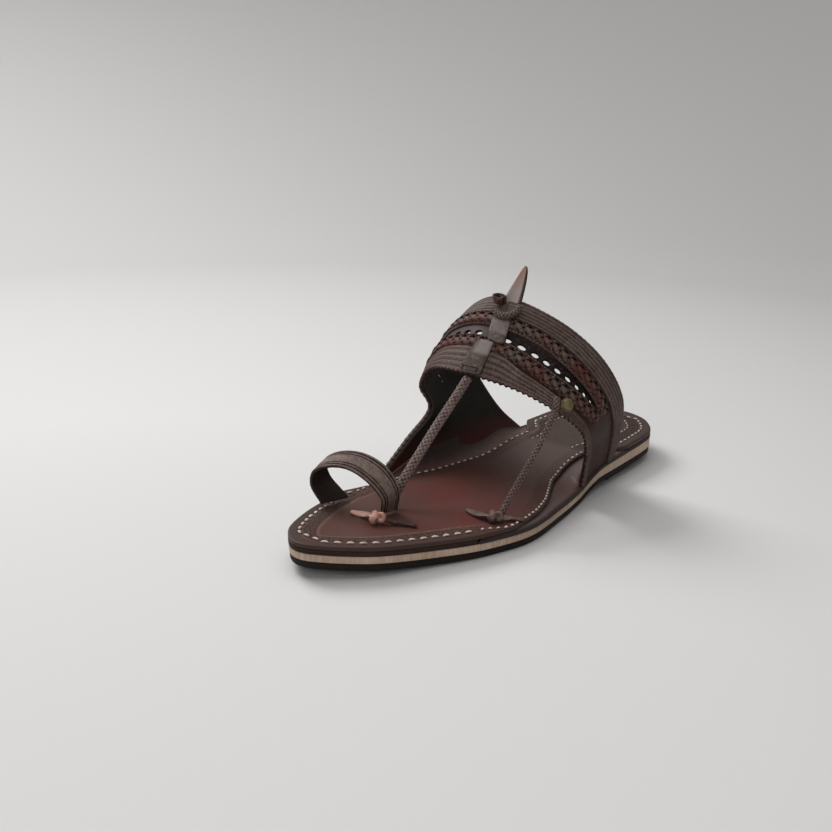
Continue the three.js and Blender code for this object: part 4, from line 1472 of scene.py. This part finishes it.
def curlSurface(a, b, offset):
    # a spiral roll: radius shrinks by a wall and a little air each turn; leaned in the knot's frame
    angle = 0.4 + a * 2 * np.pi * curl["turns"]
    wound = a * curl["turns"] * (curl["wall"] + curl["air"])
    radius = curl["outer"] - curl["wall"] / 2 - wound + np.asarray(offset)
    flare = 1 + curl["flare"] * b
    x, y = radius * np.cos(angle) * flare, radius * np.sin(angle) * flare
    z = b * curl["height"] * (1 - curl["narrowing"] * a)
    turnedY = y * np.cos(curl["lean"]) + z * np.sin(curl["lean"])
    turnedZ = -y * np.sin(curl["lean"]) + z * np.cos(curl["lean"])
    foot = knotOrigin - knotUp * (topKnot["cord"] + 0.6)
    x = x + curl["side"] - z * curl["leanInward"]
    turnedY = turnedY + curl["back"]
    turnedZ = turnedZ + curl["outer"] * np.sin(curl["lean"]) - curl["sunk"]
    return foot + knotSide * x[..., None] + knotBack * turnedY[..., None] + knotUp * turnedZ[..., None]


def curlRound(a, b):
    # the edges of the roll are rounded to nearly a third of the wall
    fromEdge = np.clip(np.minimum(b, 1 - b) / 0.06, 0, 1)
    return curl["wall"] / 2 * (1 - 0.7 * (1 - fromEdge) ** 2)


sheetPiece("curl", curlSurface, 72, 20, curlRound, lambda a, b: -curlRound(a, b), curlFinish,
           ["rolled_curl"])

rivet = {"across": 0.699, "along": 0.12, "radius": 3.8, "height": 2.1, "lift": 0.9}
rivetOrigin, rivetSide, rivetBack, rivetUp = frameOnBand(rivet["across"], rivet["along"], rivet["lift"])


def rivetPiece():
    # a dome turned round its axis: flange, step, then a quarter of an ellipse to the top
    arc = np.linspace(0, np.pi / 2, 12)
    rim, step, around = rivet["radius"], 0.25, 40
    flange = np.array([[0, -0.8], [rim - 0.3, -0.8], [rim, -0.4], [rim, -0.1], [rim - 0.2, 0.15],
                       [rim - 0.55, 0.2]])
    dome = np.stack([(rim - 0.6) * np.cos(arc), step + (rivet["height"] - step) * np.sin(arc)], -1)
    profile = np.concatenate([flange, dome])
    profile[-1, 0] = 0
    turn = np.linspace(0, 2 * np.pi, around, endpoint=False)
    x = profile[:, 0, None] * np.cos(turn)[None]
    y = profile[:, 0, None] * np.sin(turn)[None]
    z = np.broadcast_to(profile[:, 1, None], x.shape)
    points = rivetOrigin + rivetSide * x[..., None] + rivetBack * y[..., None] + rivetUp * z[..., None]
    faces = gridFaces(len(profile), around, closed=True)
    return buildPiece("rivet_head", points.reshape(-1, 3), faces, rivetBrass(), ["rivet"],
                      smooth=50)


rivetPiece()

# toe loop
loopShape = {
    "front": [(-36.5, -95, 15.6), (-42.5, -96.5, 25), (-40, -97, 33.5), (-30.5, -95, 38.5),
              (-19, -91.5, 38.5),
              (-8, -88, 32.5), (-2.5, -84.5, 24), (-5, -82, 14.8)],
    "rear": [(-34, -77.5, 14.7), (-43.5, -82, 26.5), (-41.5, -85.5, 37), (-31.5, -84.5, 43.5),
             (-18.5, -80.5, 44.5),
             (-7, -76, 38.5), (-0.5, -73, 27), (-4, -71, 14.3)],
    "bow": [0] * 8,
    "middle": (-20, -85, 22),
    "columns": 500,
    "rows": 80,
    "below": -0.1,
    "above": 1.1,
}
loop = loftSurface(loopShape, loftTable(loopShape))


def loopPiece():
    # the strap of the loop: a tooled middle between two lines on each side
    def crestOf(a, b):
        side = np.abs(2 * b - 1)
        rimLine = np.exp(-(((side - 0.74) / 0.06) ** 2))
        innerLine = np.exp(-(((side - 0.5) / 0.05) ** 2))
        return np.clip(1 - rimLine - 0.8 * innerLine, 0, 1)

    def edge(a, b):
        near = np.minimum(b, 1 - b) / 0.08
        return 1 - np.sqrt(np.maximum(0, 1 - (1 - np.clip(near, 0, 1)) ** 2))

    def stamp(a, b):
        dots = 0.13 * np.sin(a * 330 + 3 * np.sin(b * 31)) * np.sin(b * 36 + 2 * np.sin(a * 97))
        return dots * (np.abs(2 * b - 1) < 0.46)

    top = lambda a, b: 0.1 - 0.45 * (1 - crestOf(a, b)) + stamp(a, b) - 0.7 * edge(a, b)
    # crest falls on the lines and at the edges and stays low on the inner face; the strip finish paints
    # shade where it is low and a highlight where it is high
    marks = {
        "crest": lambda a, b: (np.clip(crestOf(a, b) * 0.85 + stamp(a, b) * 1.2, 0, 1)
                               * (1 - 0.6 * edge(a, b) ** 2), a * 0 + 0.12),
    }
    return sheetPiece("toe_loop_strap", loop, 220, 40, top, lambda a, b: a * 0 - 2.0 + 0.5 * edge(a, b),
                      loopFinish, ["toe_loop"], marks=marks, uv=lambda a,
                      b: (a * 95, b * 13))


loopFinish = stripLeather("loopLeather", "231915", "453530", "96827a", "4b2b22", 0.3, 1.6)
loopPiece()


# thongs and their knots
def routeFrame(points, hint):
    # a path through the points; side and up turned from a fixed hint
    t = np.linspace(0, 1, 600)
    line = catmullRom(points, t)
    run = np.concatenate([[0], np.cumsum(np.linalg.norm(np.diff(line, axis=0), axis=-1))])

    def frameOf(at):
        origin = np.stack([np.interp(at, run, line[:, k]) for k in range(3)], -1)
        ahead = np.gradient(origin, axis=0)
        ahead = ahead / np.linalg.norm(ahead, axis=-1, keepdims=True)
        side = crossed(ahead, np.broadcast_to(np.array(hint, float), ahead.shape))
        return origin, side, crossed(side, ahead), ahead

    return frameOf, run[-1]


def onFootbed(x, y, lift):
    return (x, y, float(footbedTop(sole["length"] / 2 - y)) + lift)


tabRoot = band(0.519, 0.0, -bandShape["wall"] / 2)
toeRoute = [onFootbed(-10.2, -70.6, 1.4), (-9, -62.8, 25), (-7.2, -50.6, 38.4), (-5.4, -38.2, 51.6),
            (-3.5, -26.5, 63.6),
            (tabRoot[0], tabRoot[1] - 1.4, tabRoot[2] - 1.2)]
clearOfBand = 0.3 + 1.7
sideRoute = [onFootbed(40.4, -43.2, 0.9), (41.4, -36.5, 22.2), (42.8, -26, 33.9), (43.9, -16.5, 44.7),
             (44.5, -8, 55),
             tuple(band(0.684, -0.06, clearOfBand - 0.6)), tuple(band(0.68, 0.02, clearOfBand + 0.4)),
             tuple(band(0.671, 0.12, clearOfBand + 0.2))]
thongFinish = stripLeather("thongLeather", "221815", "4a3a34", "9a867f", "4e2f26", 0.4)
darkThongFinish = stripLeather("darkThongLeather", "1f1613", "42332e", "8c7770", "45281f", 0.4)
toeThong = {"strands": 10, "pitch": 13.0, "steps": 32, "swing": 1.9, "rise": 1.5, "width": 1.5,
            "height": 1.1,
            "woven": True, "weave": 0.3}
sideThong = {"strands": 8, "pitch": 9.0, "steps": 28, "swing": 1.25, "rise": 0.95, "width": 1.15,
             "height": 0.85,
             "woven": True, "weave": 0.22}
frameOf, length = routeFrame(toeRoute, (0.35, -0.75, 0.55))
braidPiece("toe_thong_braid", frameOf, length, toeThong, thongFinish, ["toe_thong"])
print("toe thong length", round(length, 1))
frameOf, length = routeFrame(sideRoute, (0.45, -0.75, 0.5))
braidPiece("side_thong_braid", frameOf, length, sideThong, darkThongFinish, ["side_thong"])
print("side thong length", round(length, 1))


knotCord = {"halfWidth": 1.9, "halfHeight": 1.25, "rings": 72, "around": 10}


def knotMesh(centre, size, tails):
    # the ball is a trefoil of flat cord; each tail is a tapered strip that lies on the footbed
    rings, around = knotCord["rings"], knotCord["around"]
    t = np.linspace(0, 2 * np.pi, rings + 1)[:-1]
    x = (np.sin(t) + 1.15 * np.sin(2 * t)) * 0.36 * size[0]
    y = (np.cos(t) - 1.15 * np.cos(2 * t)) * 0.36 * size[1]
    z = -np.sin(3 * t) * 0.42 * size[2]
    path = np.stack([x, y, z], -1) + np.array(centre)
    way = np.roll(path, -1, 0) - np.roll(path, 1, 0)
    out = path - np.array(centre)
    side = crossed(way, out)
    up = crossed(side, way)
    turn = np.linspace(0, 2 * np.pi, around, endpoint=False)
    sideways = side[:, None] * np.cos(turn)[None, :, None] * knotCord["halfWidth"]
    upward = up[:, None] * np.sin(turn)[None, :, None] * knotCord["halfHeight"]
    ring = path[:, None] + sideways + upward
    faces = gridFaces(rings + 1, around, closed=True) % (rings * around)
    parts = [(ring.reshape(-1, 3), faces)]
    for end, width, thickness, sway in tails:
        parts.append(tailMesh(centre, end, width, thickness, sway))
    return joined(parts)


def tailMesh(centre, end, width, thickness, sway):
    # a strip whose section is a flattened ellipse, bent sideways by a sine and narrowed to its end
    rings, around = 36, 12
    b = np.linspace(0, 1, rings)
    start, stop = np.array(centre, float), np.array(end, float)
    along = stop - start
    across = np.array([-along[1], along[0], 0]) / np.hypot(along[0], along[1])
    path = start + along * b[:, None] + across * (np.sin(b * np.pi * 1.2) * sway)[:, None]
    floor = footbedTop(sole["length"] / 2 - path[:, 1]) + thickness * 0.5 + 0.1
    hump = (centre[2] - floor[0]) * (1 - b) ** 2.2
    path[:, 2] = floor + hump + 0.5 * np.sin(b * 9)**2 * (1 - b)
    way = np.gradient(path, axis=0)
    side = crossed(np.broadcast_to(np.array([0, 0, 1.0]), way.shape), way)
    tilt = 0.25 * np.sin(b * 7)
    up = crossed(way, side)
    sideT = side * np.cos(tilt)[:, None] + up * np.sin(tilt)[:, None]
    upT = crossed(way, sideT)
    turn = np.linspace(0, 2 * np.pi, around, endpoint=False)
    half = width / 2 * (1 - 0.5 * b**1.5)
    half[-1] = 0.02
    half[-2] *= 0.7
    cx, cy = np.sign(np.cos(turn)) * np.abs(np.cos(turn)) ** 0.7, np.sin(turn)
    ring = path[:, None] + sideT[:, None] * cx[None, :, None] * half[:, None, None]
    ring = ring + upT[:, None] * cy[None, :, None] * thickness / 2 * np.minimum(1, half[:, None, None])
    # five quads close the ring at either end
    k = np.arange(around // 2 - 1)
    cap = np.stack([k, k + 1, around - 2 - k, around - 1 - k], -1)
    return ring.reshape(-1, 3), np.concatenate([
        gridFaces(rings, around, closed=True), cap, cap + (rings - 1) * around])


toeKnotFinish = plainLeather("toeKnotLeather", "b07e6a", "d4a290", "e6cabf", 0.5, 1.3, 60.0)
darkTailFinish = plainLeather("darkTailLeather", "2d1a16", "3e2823", "6a4f47", 0.5, 1.2, 60.0)
sideKnotFinish = plainLeather("sideKnotLeather", "4a3630", "6a544c", "978178", 0.5, 1.4, 60.0)
points, faces = knotMesh(onFootbed(0.8, -92, 3.4), (4.3, 4.4, 3.6), [
    (onFootbed(-19, -89.7, 0.8), 6.2, 1.6, -1.2),
])
buildPiece("toe_knot_cord", points, faces, toeKnotFinish, ["toe_knot"], smooth=60)
points, faces = tailMesh(onFootbed(2.0, -91.5, 2.6), onFootbed(18.5, -81, 0.8), 3.6, 1.4, 1.0)
buildPiece("toe_knot_tail", points, faces, darkTailFinish, smooth=60)
points, faces = knotMesh(onFootbed(41.6, -48.8, 3.0), (4.2, 4.2, 3.1), [
    (onFootbed(21.7, -47.2, 0.8), 6.0, 1.5, 1.0),
    (onFootbed(51.6, -37.4, 0.8), 5.2, 1.3, 0.8),
])
buildPiece("side_knot_cord", points, faces, sideKnotFinish, ["side_knot"], smooth=60)
print("upper made")

# stage
stage = {
    "camera": (0.36313, -0.48026, 0.24010),
    "right": (0.75307, 0.65794, 0.0),
    "up": (-0.19950, 0.22834, 0.95292),
    "ahead": (-0.62697, 0.71762, -0.30322),
    "lens": 50,
    "floor": "dcdbda",
    # backdrop: the darker tone the floor paper is painted towards with distance, a painted shade
    "backdrop": "bab9b8",
}
camera = bpy.data.objects.new("camera", bpy.data.cameras.new("camera"))
camera.data.lens = stage["lens"]
camera.data.sensor_width = 36
camera.data.clip_end = 30
axes = np.eye(4)
axes[:3, 0], axes[:3, 1] = stage["right"], stage["up"]
axes[:3, 2], axes[:3, 3] = -np.array(stage["ahead"]), stage["camera"]
camera.matrix_world = Matrix(axes.tolist())
bpy.context.scene.collection.objects.link(camera)
bpy.context.scene.camera = camera


def stageFloor():
    # a shallow bowl turned round the vertical: flat, then a quarter circle up, then a wall
    flat, radius, high, around = 0.9, 1.25, 1.6, 96
    arc = np.linspace(0, np.pi / 2, 40)
    r = np.concatenate([[0.02, 0.4, 0.7], flat + radius * np.sin(arc), [flat + radius]])
    z = np.concatenate([[0, 0, 0], radius * (1 - np.cos(arc)), [high]])
    turn = np.linspace(0, 2 * np.pi, around, endpoint=False)
    grid = np.stack([r[:, None] * np.cos(turn), r[:, None] * np.sin(turn), z[:, None] + 0 * turn], -1)
    faces = gridFaces(len(r), around, closed=True).tolist() + [list(range(around))]
    mesh = bpy.data.meshes.new("floor")
    mesh.from_pydata(grid.reshape(-1, 3), [], faces)
    mesh.polygons.foreach_set("use_smooth", np.ones(len(mesh.polygons), bool))
    finish = Finish("floorPaper")
    place = finish.objectPlace()
    fromFront = finish.add("VectorMath", {"operation": "ADD"}, {0: place, 1: (0.05, 0.24, 0.0)}, "Vector")
    away = finish.add("VectorMath", {"operation": "LENGTH"}, {0: fromFront}, "Value")
    # painted shade: the paper darkens with distance from a point in front of the sandal towards the
    # backdrop tone, standing in for light falling off
    far = finish.ramp(away * 0.5, (0.15, 0), (0.45, 1))
    paper = finish.blend(finish.noise(place, 3.0) * 0.1, tone(stage["floor"]), tone("d2d0ce"))
    paper = finish.blend(far, paper, tone(stage["backdrop"]))
    mesh.materials.append(finish.surface(paper, 0.85, Specular_IOR_Level=0.1))
    piece = bpy.data.objects.new("floor", mesh)
    bpy.context.scene.collection.objects.link(piece)


stageFloor()


def softLight(name, place, towards, size, power, colour=(1, 1, 1)):
    light = bpy.data.lights.new(name, "AREA")
    light.shape = "RECTANGLE"
    light.size, light.size_y = size
    light.energy = power
    light.color = colour
    lamp = bpy.data.objects.new(name, light)
    aim = np.array(towards, float) - np.array(place, float)
    aim = aim / np.linalg.norm(aim)
    sideways = crossed(aim, np.array([0, 0, 1.0]))
    turned = np.eye(4)
    upward = crossed(sideways, aim)
    turned[:3, 0], turned[:3, 1], turned[:3, 2], turned[:3, 3] = sideways, upward, -aim, place
    lamp.matrix_world = Matrix(turned.tolist())
    bpy.context.scene.collection.objects.link(lamp)


softLight("keyFromLeft", (-1.25, 0.1, 1.25), (0, 0, 0.03), (0.9, 0.9), 21)
softLight("overhead", (-0.1, 0.0, 1.8), (0, 0, 0), (1.4, 1.4), 8)
softLight("fillFront", (0.5, -1.6, 0.9), (0, 0, 0.04), (1.2, 0.9), 5)

world = bpy.data.worlds.new("room")
world.use_nodes = True
world.node_tree.nodes["Background"].inputs["Color"].default_value = (0.95, 0.95, 0.95, 1)
world.node_tree.nodes["Background"].inputs["Strength"].default_value = 0.32
bpy.context.scene.world = world
bpy.context.scene.view_settings.view_transform = "Standard"
